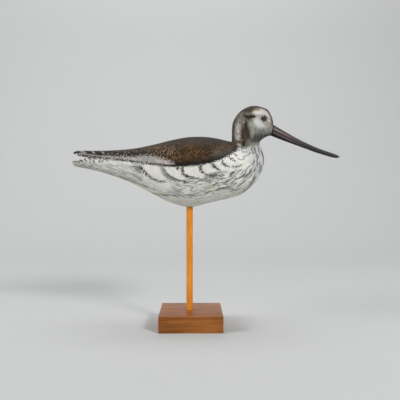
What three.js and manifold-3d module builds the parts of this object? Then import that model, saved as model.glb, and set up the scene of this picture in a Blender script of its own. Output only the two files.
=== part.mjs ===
// A carved and painted wooden shorebird on a round rod, which is let into a square block.
// Millimetres, +Z up. The bird faces +X, and the origin is the middle of the block's underside.
// The bird is carved from one piece of wood. The bill, the two glass eyes, the rod and the block are pieces
// of their own.
import * as THREE from "three";
import { mergeVertices } from "three/addons/utils/BufferGeometryUtils.js";
import Module from "manifold-3d";

const wasm = await Module();
wasm.setup();

// Stand
const BLOCK_SIDE = 89;
const BLOCK_HEIGHT = 23;
const BLOCK_EASING = 1.2; // radius of its softened edges
const ROD_RADIUS = 4.75;
const ROD_X = -2; // the rod stands a little behind the block's middle
const ROD_IN_BLOCK = 15; // depth of each hole that the rod is glued into
const ROD_IN_BIRD = 22;
const ROD_SIDES = 40;
const BELLY_Z = 171.2; // lowest point of the bird, where the rod enters
const GAP = 0.3; // between touching pieces
const WELD = 1e-4; // points closer than this are one

// Eyes: glass balls set into the head
const EYE_RADIUS = 3.9;
const EYE_X = 101.8;
const EYE_Z = 296.5;
const EYE_Y = 14.7; // of the ball's middle
const EYE_SIDES = 16;
const EYE_RINGS = 10;

// Folded wings: their lower edge in side view, from the wing tips to the shoulder
const WING_EDGE = [
  [-168.5, 247.2],
  [-163, 244.8],
  [-156, 243.6],
  [-147, 242.7],
  [-124, 239.9],
  [-92, 236.6],
  [-53.5, 232],
  [-15, 227.6],
  [10, 229.8],
  [33, 237.2],
  [54, 246],
];
const EDGE_DROP = 1; // height of the carved step under the wings
const UNDERCUT = 0.15; // and how far it bites in behind the flank
const SHOULDER_X = 54; // the step has run out here
const STEP_FADE = 20; // over this length
const SEAM_DROP = 0.3; // spacing of the two rows of facets that carry on past it
const FRONT_SHARE = 0.76; // share of a section's height at which they do

// The notch that parts the wing tips from the tail
const NOTCH_X = -147; // its inner end
const NOTCH_RUN_IN = 18; // length over which the step deepens into it
const TAIL_TOP_END = 235.8; // height of the tail's upper side at its tip
const TAIL_END_X = -169.5;
const TAIL_CROWN = 1.1; // rise of the tail's upper side at its middle
const WING_HOLLOW = 0.3; // and of the wing tips' underside
const HOLLOW_RUN_IN = 0.12; // share of the notch's length over which both begin

// Flat face that the bill is seated on, in side view
const SEAT = { back: [118.3, 289.6], belly: [114.3, 274.1] };

// Sections of the bird from the tail to the bill's seat: where each one meets the back and the belly in
// side view, half its width above the wing edge and below it, the share of its height at which it is
// widest, and the fullness of its upper and lower halves, where 2 is an ellipse. A section without such a
// share is widest at the wing edge.
const BIRD = [
  { back: [-168.4, 249.6], belly: [-169.8, 233.4], half: [1.7, 5.5], full: [2.0, 2.0] },
  { back: [-167.4, 250.4], belly: [-168.6, 231.6], half: [2.9, 8.8], full: [2.0, 2.0] },
  { back: [-165.2, 251.2], belly: [-166.2, 229.7], half: [4.4, 11.4], full: [2.0, 2.0] },
  { back: [-159.0, 252.0], belly: [-159.5, 228.0], half: [6.9, 13.6], full: [2.0, 2.0] },
  { back: [NOTCH_X, 252.0], belly: [NOTCH_X, 225.6], half: [10.3, 14.9], full: [2.0, 2.0] },
  { back: [-128.0, 252.0], belly: [-128.0, 221.0], half: [14.8, 16.2], full: [2.0, 2.0] },
  { back: [-106.0, 252.9], belly: [-106.0, 213.8], half: [19.6, 19.0], full: [2.0, 1.9] },
  { back: [-80.0, 255.5], belly: [-80.0, 203.2], half: [26.2, 25.4], full: [2.0, 2.0] },
  { back: [-52.0, 261.1], belly: [-52.0, 188.4], half: [32.6, 31.8], full: [2.0, 2.1] },
  { back: [-26.0, 267.6], belly: [-26.0, 176.3], half: [36.8, 36.0], full: [2.0, 2.1] },
  { back: [0.0, 271.9], belly: [0.0, 171.2], half: [39.0, 38.2], girth: 0.57, full: [2.0, 2.1] },
  { back: [24.0, 271.6], belly: [24.0, 176.5], half: [38.8, 38.1], girth: 0.54, full: [2.0, 2.1] },
  { back: [42.0, 268.7], belly: [42.0, 180.8], half: [37.2, 36.8], girth: 0.51, full: [2.0, 2.1] },
  { back: [54.0, 265.8], belly: [54.0, 183.4], half: [35.6, 35.5], girth: 0.49, full: [2.0, 2.1] },
  { back: [57.6, 265.2], belly: [71.4, 189.2], half: [33.6, 33.6], girth: 0.48, full: [2.0, 2.1] },
  { back: [58.3, 265.7], belly: [88.1, 202.0], half: [30.2, 30.2], girth: 0.47, full: [2.0, 2.1] },
  { back: [58.6, 266.3], belly: [98.6, 215.5], half: [26.4, 26.4], girth: 0.46, full: [2.0, 2.1] },
  { back: [58.7, 267.1], belly: [104.2, 230.5], half: [22.8, 22.8], girth: 0.46, full: [2.0, 2.1] },
  { back: [58.8, 268.3], belly: [105.0, 242.0], half: [20.0, 20.0], girth: 0.47, full: [2.0, 2.1] },
  { back: [58.8, 270.4], belly: [102.6, 252.2], half: [17.8, 17.8], girth: 0.49, full: [2.0, 2.0] },
  { back: [58.8, 274.4], belly: [99.4, 259.4], half: [16.6, 16.6], girth: 0.5, full: [2.0, 2.0] },
  { back: [58.9, 281.0], belly: [98.9, 263.8], half: [16.4, 16.4], girth: 0.5, full: [2.1, 2.0] },
  { back: [60.4, 292.9], belly: [101.0, 267.2], half: [17.4, 17.4], girth: 0.5, full: [2.1, 2.0] },
  { back: [66.0, 303.4], belly: [103.4, 269.2], half: [18.4, 18.4], girth: 0.5, full: [2.1, 2.0] },
  { back: [76.5, 312.5], belly: [105.5, 270.6], half: [18.6, 18.6], girth: 0.5, full: [2.1, 2.0] },
  { back: [89.0, 316.6], belly: [107.6, 271.7], half: [18.0, 18.0], girth: 0.5, full: [2.1, 2.0] },
  { back: [101.0, 315.0], belly: [109.6, 272.7], half: [16.2, 16.2], girth: 0.5, full: [2.1, 2.0] },
  { back: [110.3, 310.8], belly: [111.4, 273.3], half: [13.4, 13.4], girth: 0.5, full: [2.1, 2.0] },
  { back: [115.2, 303.0], belly: [112.8, 273.7], half: [10.2, 10.2], girth: 0.5, full: [2.1, 2.0] },
  { back: [117.6, 296.0], belly: [113.7, 273.9], half: [7.8, 7.8], girth: 0.5, full: [2.1, 2.0] },
  { ...SEAT, half: [6.2, 6.2], girth: 0.5, full: [2.0, 2.0] },
];
const BIRD_STEP = 9; // length of a facet along the bird
const TOP_ROWS = 10; // facets round each half: back, step's underside, tail's upper side, flank and belly
const LEDGE_ROWS = 1;
const LOW_ROWS = 12;

// Sections of the bill, from its seat on the head to its tip
const BILL = [
  { ...SEAT, half: [5.8, 5.8], girth: 0.5, full: [2.2, 2.2] },
  { back: [133.5, 280.8], belly: [129.0, 268.3], half: [5.0, 5.0], girth: 0.5, full: [2.2, 2.2] },
  { back: [149.5, 271.7], belly: [145.8, 262.1], half: [4.2, 4.2], girth: 0.5, full: [2.2, 2.2] },
  { back: [165.5, 263.7], belly: [162.6, 256.1], half: [3.6, 3.6], girth: 0.5, full: [2.1, 2.1] },
  { back: [181.0, 256.8], belly: [178.6, 250.2], half: [3.1, 3.1], girth: 0.5, full: [2.1, 2.1] },
  { back: [196.5, 251.2], belly: [194.6, 245.3], half: [2.8, 2.8], girth: 0.5, full: [2.0, 2.0] },
  { back: [207.5, 247.5], belly: [206.2, 242.2], half: [2.4, 2.4], girth: 0.5, full: [2.0, 2.0] },
  { back: [212.2, 245.4], belly: [211.6, 242.0], half: [1.6, 1.6], girth: 0.5, full: [2.0, 2.0] },
  { back: [214.2, 243.9], belly: [214.1, 242.9], half: [0.5, 0.5], girth: 0.5, full: [2.0, 2.0] },
];
const BILL_STEP = 7; // length of a facet along the bill
const BILL_ROWS = 8; // facets round each half

const mix = (a, b, t) => a + (b - a) * t;
const clamp01 = (t) => Math.min(1, Math.max(0, t));
const smooth = (t) => t * t * (3 - 2 * t);

// A smooth curve through values at rising knots, in cubic pieces. Its slope at a knot is the weighted mean
// of the slopes on both sides.
function through(knots, values) {
  const last = knots.length - 1;
  const rise = (i) => (values[i + 1] - values[i]) / (knots[i + 1] - knots[i]);
  const slope = (i) => {
    if (i === 0) return rise(0);
    if (i === last) return rise(last - 1);
    const before = knots[i] - knots[i - 1];
    const after = knots[i + 1] - knots[i];
    return (rise(i - 1) * after + rise(i) * before) / (before + after);
  };
  return (at) => {
    let i = 0;
    while (i < last - 1 && at > knots[i + 1]) i += 1;
    const span = knots[i + 1] - knots[i];
    const t = clamp01((at - knots[i]) / span);
    const bend = (1 - t) * (slope(i) - rise(i)) - t * (slope(i + 1) - rise(i));
    return mix(values[i], values[i + 1], t) + t * (1 - t) * span * bend;
  };
}

const wingEdge = through(
  WING_EDGE.map(([x]) => x),
  WING_EDGE.map(([, z]) => z),
);

// Spreads count + 1 points evenly along a polyline.
function evenly(points, count) {
  const reach = [0];
  for (let i = 1; i < points.length; i += 1) {
    reach.push(reach[i - 1] + Math.hypot(points[i][0] - points[i - 1][0], points[i][1] - points[i - 1][1]));
  }
  const total = reach[reach.length - 1];
  return Array.from({ length: count + 1 }, (_, n) => {
    const want = (total * n) / count;
    let i = 1;
    while (i < reach.length - 1 && reach[i] < want) i += 1;
    const t = clamp01((want - reach[i - 1]) / (reach[i] - reach[i - 1]));
    return [mix(points[i - 1][0], points[i][0], t), mix(points[i - 1][1], points[i][1], t)];
  });
}

// A quarter of a superellipse from its top or bottom to its widest point, as points [across, up].
function quarter(half, girth, rise, fullness) {
  const STEPS = 48;
  return Array.from({ length: STEPS + 1 }, (_, n) => {
    const angle = (Math.PI / 2) * (1 - n / STEPS);
    const across = half * Math.max(0, Math.cos(angle)) ** (2 / fullness);
    return [n === 0 ? 0 : across, girth + rise * Math.sin(angle) ** (2 / fullness)];
  });
}

// The part of such a quarter above a height, ending exactly there, and the part below it.
function splitAt(points, height) {
  const i = points.findIndex(([, up]) => up <= height);
  if (i <= 0) return [points, [points[points.length - 1]]];
  const t = (points[i - 1][1] - height) / (points[i - 1][1] - points[i][1]);
  const cut = [mix(points[i - 1][0], points[i][0], t), height];
  return [
    [...points.slice(0, i), cut],
    [cut, ...points.slice(i)],
  ];
}

const heightOf = ({ back, belly }) => Math.hypot(back[0] - belly[0], back[1] - belly[1]);

// How far up a section its wing edge is, as a share of its height.
function wingEdgeShare({ back, belly }) {
  const USUAL_SHARE = 0.7;
  return (wingEdge(mix(belly[0], back[0], USUAL_SHARE)) - belly[1]) / (back[1] - belly[1]);
}

// The sections between the given ones, no more than step apart at either line. Every given section is kept.
function loft(given, step) {
  const sections = given.map((s) => ({ ...s, girth: [s.girth ?? wingEdgeShare(s)] }));
  const knots = [0];
  const counts = [];
  for (let i = 1; i < sections.length; i += 1) {
    const [one, next] = [sections[i - 1], sections[i]];
    const moves = ["back", "belly"].map((line) =>
      Math.hypot(next[line][0] - one[line][0], next[line][1] - one[line][1]),
    );
    knots.push(knots[i - 1] + (moves[0] + moves[1]) / 2);
    counts.push(Math.ceil(Math.max(...moves) / step));
  }
  const curve = (name, n) => through(knots, sections.map((s) => s[name][n]));
  const curves = ["back", "belly", "half", "girth", "full"].map((name) => [
    name,
    sections[0][name].map((_, n) => curve(name, n)),
  ]);
  const places = counts.flatMap((count, i) =>
    Array.from({ length: count }, (_, n) => mix(knots[i], knots[i + 1], n / count)),
  );
  places.push(knots[knots.length - 1]);
  const sectionAt = (at) =>
    Object.fromEntries(curves.map(([name, list]) => [name, list.map((f) => f(at))]));
  return places.map(sectionAt);
}

// Half of a section of the bird as points [across, up] from the back to the belly, where up is measured
// along the section from the belly. The rows follow the wing edge. The wing's underside ends inwards at row
// WING_INNER, and the tail's upper side starts at the row after it.
const WING_INNER = TOP_ROWS + LEDGE_ROWS;

function birdHalf(section) {
  const { back, belly, half, full } = section;
  const height = heightOf(section);
  const x = (back[0] + belly[0]) / 2;
  const carved = smooth(clamp01((SHOULDER_X - x) / STEP_FADE));
  const open = smooth(clamp01((NOTCH_X + NOTCH_RUN_IN - x) / NOTCH_RUN_IN));
  const parted = clamp01((NOTCH_X - x) / (NOTCH_X - TAIL_END_X));

  const edge = height * (x < SHOULDER_X ? wingEdgeShare(section) : FRONT_SHARE);
  const tailTop = mix(wingEdge(NOTCH_X) - EDGE_DROP, TAIL_TOP_END, parted);
  const drop = parted > 0 ? wingEdge(x) - tailTop : mix(SEAM_DROP, EDGE_DROP, carved);
  const girth = Math.min(section.girth[0] * height, edge);
  const upper = quarter(half[0], girth, height - girth, full[0]);
  const [wing, shoulder] = splitAt(upper, edge);
  const side = shoulder.map(([across, up]) => [(across * half[1]) / half[0], up]);
  const lowGirth = Math.min(girth, edge - drop);
  const lower = quarter(half[1], lowGirth, -lowGirth, full[1]).reverse();
  const flank = edge - drop > girth ? [...splitAt(side, edge - drop)[1], ...lower.slice(1)] : lower;

  const wingPoint = wing[wing.length - 1];
  const flankPoint = flank[0];
  const bite = Math.min(wingPoint[0], flankPoint[0]) - UNDERCUT;
  const inner = (t) => mix(mix(mix(wingPoint[0], flankPoint[0], t), bite, carved), 0, open);
  const hollowed = open * clamp01(parted / HOLLOW_RUN_IN);
  const under = [inner(1 / 3), edge + mix(-drop / 3, WING_HOLLOW, hollowed)];
  const over = [inner(2 / 3), edge - drop + mix(drop / 3, TAIL_CROWN, hollowed)];
  return [
    ...evenly(wing, TOP_ROWS),
    ...evenly([wingPoint, under], LEDGE_ROWS).slice(1),
    ...evenly([over, flankPoint], LEDGE_ROWS),
    ...evenly(flank, LOW_ROWS).slice(1),
  ];
}

// Half of a plain oval section.
function plainHalf(section) {
  const { half, full } = section;
  const height = heightOf(section);
  const girth = section.girth[0] * height;
  const lower = quarter(half[1], girth, -girth, full[1]).reverse();
  return evenly([...quarter(half[0], girth, height - girth, full[0]), ...lower.slice(1)], BILL_ROWS);
}

// Closes two mirrored halves of every section into one surface. From section 0 up to the notch's inner end,
// the rows innerRow and innerRow + 1 meet their mirror images at the middle, and nothing joins the two.
function mirroredLoft(sections, halfOf, innerRow = -1, notchEnd = -1) {
  const points = [];
  const halves = sections.map(halfOf);
  const last = halves[0].length - 1;
  const parted = (i, j) => i <= notchEnd && (j === innerRow || j === innerRow + 1);
  const index = sections.map((section, i) =>
    halves[i].map(([across, up], j) => {
      const share = up / heightOf(section);
      const x = mix(section.belly[0], section.back[0], share);
      const z = mix(section.belly[1], section.back[1], share);
      const onMiddle = j === 0 || j === last || parted(i, j);
      points.push([x, onMiddle ? 0 : across, z]);
      if (onMiddle) return [points.length - 1, points.length - 1];
      points.push([x, -across, z]);
      return [points.length - 2, points.length - 1];
    }),
  );
  const faces = [];
  const quad = (a, b, c, d) => {
    if (a !== b && b !== c && a !== c) faces.push(a, b, c);
    if (a !== c && c !== d && a !== d) faces.push(a, c, d);
  };
  for (let i = 0; i < sections.length - 1; i += 1) {
    for (let j = 0; j < last; j += 1) {
      if (parted(i, j) && parted(i + 1, j) && j === innerRow) continue;
      quad(index[i][j][0], index[i + 1][j][0], index[i + 1][j + 1][0], index[i][j + 1][0]);
      quad(index[i][j + 1][1], index[i + 1][j + 1][1], index[i + 1][j][1], index[i][j][1]);
    }
  }
  const end = sections.length - 1;
  for (let j = 0; j < last; j += 1) {
    if (!(parted(0, j) && j === innerRow)) {
      quad(index[0][j][1], index[0][j][0], index[0][j + 1][0], index[0][j + 1][1]);
    }
    quad(index[end][j][0], index[end][j][1], index[end][j + 1][1], index[end][j + 1][0]);
  }
  const geometry = new THREE.BufferGeometry();
  geometry.setAttribute("position", new THREE.Float32BufferAttribute(points.flat(), 3));
  geometry.setIndex(faces);
  return geometry;
}

function solidOf(geometry) {
  const bare = geometry.clone();
  bare.deleteAttribute("normal");
  bare.deleteAttribute("uv");
  const merged = mergeVertices(bare, WELD);
  return new wasm.Manifold(
    new wasm.Mesh({
      numProp: 3,
      vertProperties: merged.attributes.position.array,
      triVerts: new Uint32Array(merged.index.array),
    }),
  );
}

function geometryOf(solid) {
  const { vertProperties, triVerts, numProp } = solid.getMesh();
  const positions = [];
  for (let i = 0; i < vertProperties.length; i += numProp) {
    positions.push(vertProperties[i], vertProperties[i + 1], vertProperties[i + 2]);
  }
  const geometry = new THREE.BufferGeometry();
  geometry.setAttribute("position", new THREE.Float32BufferAttribute(positions, 3));
  geometry.setIndex(Array.from(triVerts));
  return geometry;
}

// An upright cylinder from one height to another.
function upright(radius, x, low, high) {
  const geometry = new THREE.CylinderGeometry(radius, radius, high - low, ROD_SIDES);
  return geometry.rotateX(Math.PI / 2).translate(x, 0, (low + high) / 2);
}

function eyeball(radius, side) {
  const ball = new THREE.SphereGeometry(radius, EYE_SIDES, EYE_RINGS);
  return ball.rotateX(Math.PI / 2).translate(EYE_X, side * EYE_Y, EYE_Z);
}

// The carved bird, with the rod's hole in its belly and a socket for each eye.
function birdGeometry() {
  const sections = loft(BIRD, BIRD_STEP);
  const notchEnd = sections.findIndex(({ back }) => Math.abs(back[0] - NOTCH_X) < WELD);
  let bird = solidOf(mirroredLoft(sections, birdHalf, WING_INNER, notchEnd));
  const hole = upright(ROD_RADIUS + GAP, ROD_X, BELLY_Z - ROD_IN_BIRD, BELLY_Z + ROD_IN_BIRD);
  bird = bird.subtract(solidOf(hole));
  for (const side of [-1, 1]) bird = bird.subtract(solidOf(eyeball(EYE_RADIUS + GAP, side)));
  return geometryOf(bird);
}

function billGeometry() {
  return mirroredLoft(loft(BILL, BILL_STEP), plainHalf).translate(GAP, 0, 0);
}

// A square block with softened edges, and the rod's hole in its top.
function blockGeometry() {
  const reach = BLOCK_SIDE / 2 - BLOCK_EASING;
  const outline = new THREE.Shape();
  outline.absarc(reach, reach, BLOCK_EASING / 2, 0, Math.PI / 2);
  outline.absarc(-reach, reach, BLOCK_EASING / 2, Math.PI / 2, Math.PI);
  outline.absarc(-reach, -reach, BLOCK_EASING / 2, Math.PI, 1.5 * Math.PI);
  outline.absarc(reach, -reach, BLOCK_EASING / 2, 1.5 * Math.PI, 2 * Math.PI);
  const block = new THREE.ExtrudeGeometry(outline, {
    depth: BLOCK_HEIGHT - BLOCK_EASING,
    bevelThickness: BLOCK_EASING / 2,
    bevelSize: BLOCK_EASING / 2,
    bevelSegments: 3,
    curveSegments: 3,
  }).translate(0, 0, BLOCK_EASING / 2);
  const hole = upright(ROD_RADIUS + GAP, ROD_X, BLOCK_HEIGHT - ROD_IN_BLOCK, BLOCK_HEIGHT + ROD_IN_BLOCK);
  return geometryOf(solidOf(block).subtract(solidOf(hole)));
}

function piece(name, geometry, color, roughness) {
  const material = new THREE.MeshStandardMaterial({ color, roughness, metalness: 0 });
  const mesh = new THREE.Mesh(geometry, material);
  mesh.name = name;
  return mesh;
}

const rodLow = BLOCK_HEIGHT - ROD_IN_BLOCK + GAP;
const rodHigh = BELLY_Z + ROD_IN_BIRD - GAP;

const figurine = new THREE.Group();
figurine.add(
  piece("block", blockGeometry(), 0x8a5a35, 0.5),
  piece("rod", upright(ROD_RADIUS, ROD_X, rodLow, rodHigh), 0xc9852f, 0.45),
  piece("bird", birdGeometry(), 0xb9bab2, 0.55),
  piece("bill", billGeometry(), 0x4f4344, 0.45),
  piece("eye_left", eyeball(EYE_RADIUS, 1), 0x1c120a, 0.08),
  piece("eye_right", eyeball(EYE_RADIUS, -1), 0x1c120a, 0.08),
);

export default figurine;
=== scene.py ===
import logging
import math
from dataclasses import dataclass, field
from enum import Enum

import bmesh
import bpy
import numpy as np
from mathutils import Euler, Matrix, Vector
from mathutils.kdtree import KDTree


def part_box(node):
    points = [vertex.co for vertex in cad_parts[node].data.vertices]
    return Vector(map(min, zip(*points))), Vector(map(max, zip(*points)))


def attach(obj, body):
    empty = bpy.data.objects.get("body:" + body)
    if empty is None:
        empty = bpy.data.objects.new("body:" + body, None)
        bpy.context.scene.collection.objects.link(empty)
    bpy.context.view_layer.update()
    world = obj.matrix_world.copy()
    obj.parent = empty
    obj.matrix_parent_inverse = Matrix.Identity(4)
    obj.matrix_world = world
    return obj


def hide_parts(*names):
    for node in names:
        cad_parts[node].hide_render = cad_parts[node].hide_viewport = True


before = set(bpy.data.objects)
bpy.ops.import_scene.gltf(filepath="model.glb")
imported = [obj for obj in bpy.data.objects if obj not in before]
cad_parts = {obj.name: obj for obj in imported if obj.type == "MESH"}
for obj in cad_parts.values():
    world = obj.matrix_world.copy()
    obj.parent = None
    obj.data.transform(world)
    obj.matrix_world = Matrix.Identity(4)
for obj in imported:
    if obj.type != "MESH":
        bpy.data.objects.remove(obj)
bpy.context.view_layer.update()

LOG = logging.getLogger("figurine")
MM = 0.001  # the shapes and marks below are in millimetres, Blender's objects in metres
GAP = 0.3  # between touching pieces
UV_NAME = "OFBake"
FLOW = "flow"  # millimetres along the carving, and round it from the middle of its back and of its belly

Point = tuple[float, float]
Colour = tuple[int, int, int]
Socket = bpy.types.NodeSocket


class Side(Enum):
    """The two sides of the bird, as the sign of Y."""

    LEFT = 1
    RIGHT = -1


class Grain(Enum):
    """How the edge of a coat of paint is broken up."""

    DABBED = "dabbed"
    STREAKED = "streaked"
    SPECKED = "specked"


class Brush(Enum):
    """What a coat of paint is laid on with, inside its marks."""

    FILL = "all over"
    LINES = "broad streaks along the form"
    HAIRS = "fine lines along the form"
    HATCH = "thin slanting lines"
    DOTS = "dots"
    DARK = "large dabs"
    LIGHT = "small dabs"


def linear(colour: Colour) -> tuple[float, float, float, float]:
    """Turns a display colour of 0 to 255 into the linear colour that a shader takes.

    Args:
        colour: Red, green and blue.

    Returns:
        Linear red, green and blue, and full alpha.
    """
    shares = (channel / 255 for channel in colour)
    red, green, blue = (s / 12.92 if s <= 0.04045 else ((s + 0.055) / 1.055) ** 2.4 for s in shares)
    return red, green, blue, 1.0


class Shader:
    """A node material around one principled surface."""

    def __init__(self, name: str, roughness: float, **sockets: float) -> None:
        """Makes the surface, with plain values on its own sockets.

        Args:
            name: Name of the material.
            roughness: Roughness where no node sets it.
            sockets: Further plain values, by socket name with _ for a space.
        """
        self.material = bpy.data.materials.new(name)
        self.material.use_nodes = True
        self.nodes = self.material.node_tree.nodes
        self.links = self.material.node_tree.links
        self.nodes.clear()
        output = self.nodes.new("ShaderNodeOutputMaterial")
        self.surface = self.nodes.new("ShaderNodeBsdfPrincipled")
        self.links.new(self.surface.outputs["BSDF"], output.inputs["Surface"])
        self.surface.inputs["Roughness"].default_value = roughness
        for socket, value in sockets.items():
            self.surface.inputs[socket.replace("_", " ")].default_value = value

    def add(self, kind: str, inputs: dict[str | int, object], **settings: object) -> bpy.types.Node:
        """Adds a node.

        Args:
            kind: Its type, without the word ShaderNode.
            inputs: Sockets or plain values, by input name or number.
            settings: Its other settings.

        Returns:
            The new node.
        """
        node = self.nodes.new("ShaderNode" + kind)
        for name, value in settings.items():
            setattr(node, name, value)
        for name, value in inputs.items():
            if isinstance(value, bpy.types.NodeSocket):
                self.links.new(value, node.inputs[name])
            else:
                node.inputs[name].default_value = value
        return node

    def attribute(self, name: str) -> Socket:
        """Reads a number kept on the mesh."""
        return self.add("Attribute", {}, attribute_name=name).outputs["Fac"]

    def flow(self) -> Socket:
        """Reads the place along and round the carving, in millimetres."""
        return self.add("Attribute", {}, attribute_name=FLOW).outputs["Vector"]

    def place(self) -> Socket:
        """The place in the object, in metres."""
        return self.add("TexCoord", {}).outputs["Object"]

    def stretched(self, vector: Socket, scale: tuple[float, float, float]) -> Socket:
        """Scales a vector along each axis."""
        return self.add("Mapping", {"Vector": vector, "Scale": scale}).outputs["Vector"]

    def noise(self, vector: Socket, scale: float, detail: float = 2, roughness: float = 0.5) -> Socket:
        """Soft noise from 0 to 1, about one blob for each 1 / scale."""
        inputs = {"Vector": vector, "Scale": scale, "Detail": detail, "Roughness": roughness}
        return self.add("TexNoise", inputs).outputs[0]

    def math(self, operation: str, *values: Socket | float) -> Socket:
        """One sum, product or other step of arithmetic."""
        return self.add("Math", dict(enumerate(values)), operation=operation).outputs[0]

    def step(self, value: Socket, low: float, high: float) -> Socket:
        """Rises smoothly from 0 at low to 1 at high."""
        inputs = {"Value": value, "From Min": low, "From Max": high}
        return self.add("MapRange", inputs, interpolation_type="SMOOTHSTEP").outputs["Result"]

    def ranged(self, value: Socket, low: float, high: float) -> Socket:
        """Spreads a value of 0 to 1 evenly between two others."""
        return self.add("MapRange", {"Value": value, "To Min": low, "To Max": high}).outputs["Result"]

    def mixed(self, share: Socket | float, under: Socket | Colour, over: Socket | Colour) -> Socket:
        """Lays one colour over another, as far as the share says."""
        sides = [c if isinstance(c, bpy.types.NodeSocket) else linear(c) for c in (under, over)]
        inputs = {"Fac": share, "Color1": sides[0], "Color2": sides[1]}
        return self.add("MixRGB", inputs).outputs["Color"]

    def bump(self, height: Socket, distance: float, strength: float = 1.0) -> None:
        """Raises the surface by a height of 0 to 1 times a distance in metres."""
        inputs = {"Height": height, "Distance": distance, "Strength": strength}
        normal = self.add("Bump", inputs).outputs["Normal"]
        self.links.new(normal, self.surface.inputs["Normal"])

    def set(self, socket: str, value: Socket) -> None:
        """Leads a node to one of the surface's sockets."""
        self.links.new(value, self.surface.inputs[socket])


class Curve:
    """A smooth curve through values at rising knots, in cubic pieces."""

    def __init__(self, knots: list[float], values: list[float]) -> None:
        """Works out the slope at each knot, as the weighted mean of the slopes on both sides.

        Args:
            knots: Where the values are.
            values: The values.
        """
        self.knots = np.array(knots, float)
        self.values = np.array(values, float)
        self.span = np.diff(self.knots)
        self.rise = np.diff(self.values) / self.span
        before, after = self.span[:-1], self.span[1:]
        inner = (self.rise[:-1] * after + self.rise[1:] * before) / (before + after)
        self.slope = np.concatenate([self.rise[:1], inner, self.rise[-1:]])

    def __call__(self, at: float | np.ndarray) -> float | np.ndarray:
        """The value at a place or at many."""
        i = np.clip(np.searchsorted(self.knots, at) - 1, 0, len(self.span) - 1)
        t = np.clip((at - self.knots[i]) / self.span[i], 0, 1)
        bend = (1 - t) * (self.slope[i] - self.rise[i]) - t * (self.slope[i + 1] - self.rise[i])
        return mix(self.values[i], self.values[i + 1], t) + t * (1 - t) * self.span[i] * bend


def mix(start: float, end: float, share: float) -> float:
    """The value that share of the way from start to end."""
    return start + (end - start) * share


def clamp01(value: float) -> float:
    """The value, held between 0 and 1."""
    return min(1.0, max(0.0, value))


def smooth(share: float) -> float:
    """Eases a share in and out."""
    return share * share * (3 - 2 * share)


def evenly(points: np.ndarray, count: int) -> np.ndarray:
    """Spreads count + 1 points evenly along a polyline.

    Args:
        points: The polyline, one row a point.
        count: How many steps it is cut into.

    Returns:
        The points, one row each.
    """
    reach = np.concatenate([[0.0], np.cumsum(np.hypot(*np.diff(points, axis=0).T))])
    want = np.linspace(0, reach[-1], count + 1)
    return np.stack([np.interp(want, reach, points[:, 0]), np.interp(want, reach, points[:, 1])], 1)


def quarter(half: float, girth: float, rise: float, fullness: float) -> np.ndarray:
    """A quarter of a superellipse from its top or bottom to its widest point.

    Args:
        half: Half of its width.
        girth: Height at which it is widest.
        rise: From there to its top, or less than 0 to its bottom.
        fullness: 2 for an ellipse, more for a squarer form.

    Returns:
        Points across and up, one row each.
    """
    steps = 160
    angle = np.linspace(math.pi / 2, 0, steps + 1)
    across = half * np.maximum(0, np.cos(angle)) ** (2 / fullness)
    across[0] = 0
    return np.stack([across, girth + rise * np.sin(angle) ** (2 / fullness)], 1)


def split_at(points: np.ndarray, height: float) -> tuple[np.ndarray, np.ndarray]:
    """Cuts such a quarter at a height.

    Args:
        points: The quarter, from its top down.
        height: Where to cut it.

    Returns:
        The part above, ending exactly there, and the part below.
    """
    below = np.nonzero(points[:, 1] <= height)[0]
    if len(below) == 0 or below[0] == 0:
        return points, points[-1:]
    i = below[0]
    t = (points[i - 1, 1] - height) / (points[i - 1, 1] - points[i, 1])
    cut = np.array([[mix(points[i - 1, 0], points[i, 0], t), height]])
    return np.concatenate([points[:i], cut]), np.concatenate([cut, points[i:]])


@dataclass(frozen=True)
class Section:
    """A cut across a carved piece.

    It meets the back and the belly at these places in side view. Half its width is given above the girth
    and below it, and so is its fullness, where 2 is an ellipse. The girth is the share of its height at
    which it is widest. Without one it is widest at the wing edge.
    """

    back: Point
    belly: Point
    half: Point
    full: Point = (2.0, 2.0)
    girth: float | None = None

    @property
    def height(self) -> float:
        """From belly to back."""
        return math.dist(self.back, self.belly)

    def numbers(self) -> list[float]:
        """All its sizes in a row, for a curve through each."""
        return [*self.back, *self.belly, *self.half, *self.full, self.girth]

    @staticmethod
    def of(numbers: list[float]) -> "Section":
        """A section from such a row."""
        return Section(
            tuple(numbers[0:2]), tuple(numbers[2:4]), tuple(numbers[4:6]), tuple(numbers[6:8]), numbers[8]
        )


def lofted(given: list[Section], step: float) -> list[Section]:
    """The sections between the given ones. Every given section is kept.

    Args:
        given: Sections that all have a girth.
        step: The most that a section may move at the back or belly.

    Returns:
        The given sections and those between them.
    """
    knots = [0.0]
    counts = []
    for one, after in zip(given, given[1:]):
        moves = (math.dist(one.back, after.back), math.dist(one.belly, after.belly))
        knots.append(knots[-1] + sum(moves) / 2)
        counts.append(math.ceil(max(moves) / step))
    places = [
        mix(knots[i], knots[i + 1], n / count) for i, count in enumerate(counts) for n in range(count)
    ]
    places.append(knots[-1])
    columns = zip(*(section.numbers() for section in given))
    rows = np.stack([Curve(knots, list(column))(np.array(places)) for column in columns], 1)
    return [Section.of([float(number) for number in row]) for row in rows]


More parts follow.
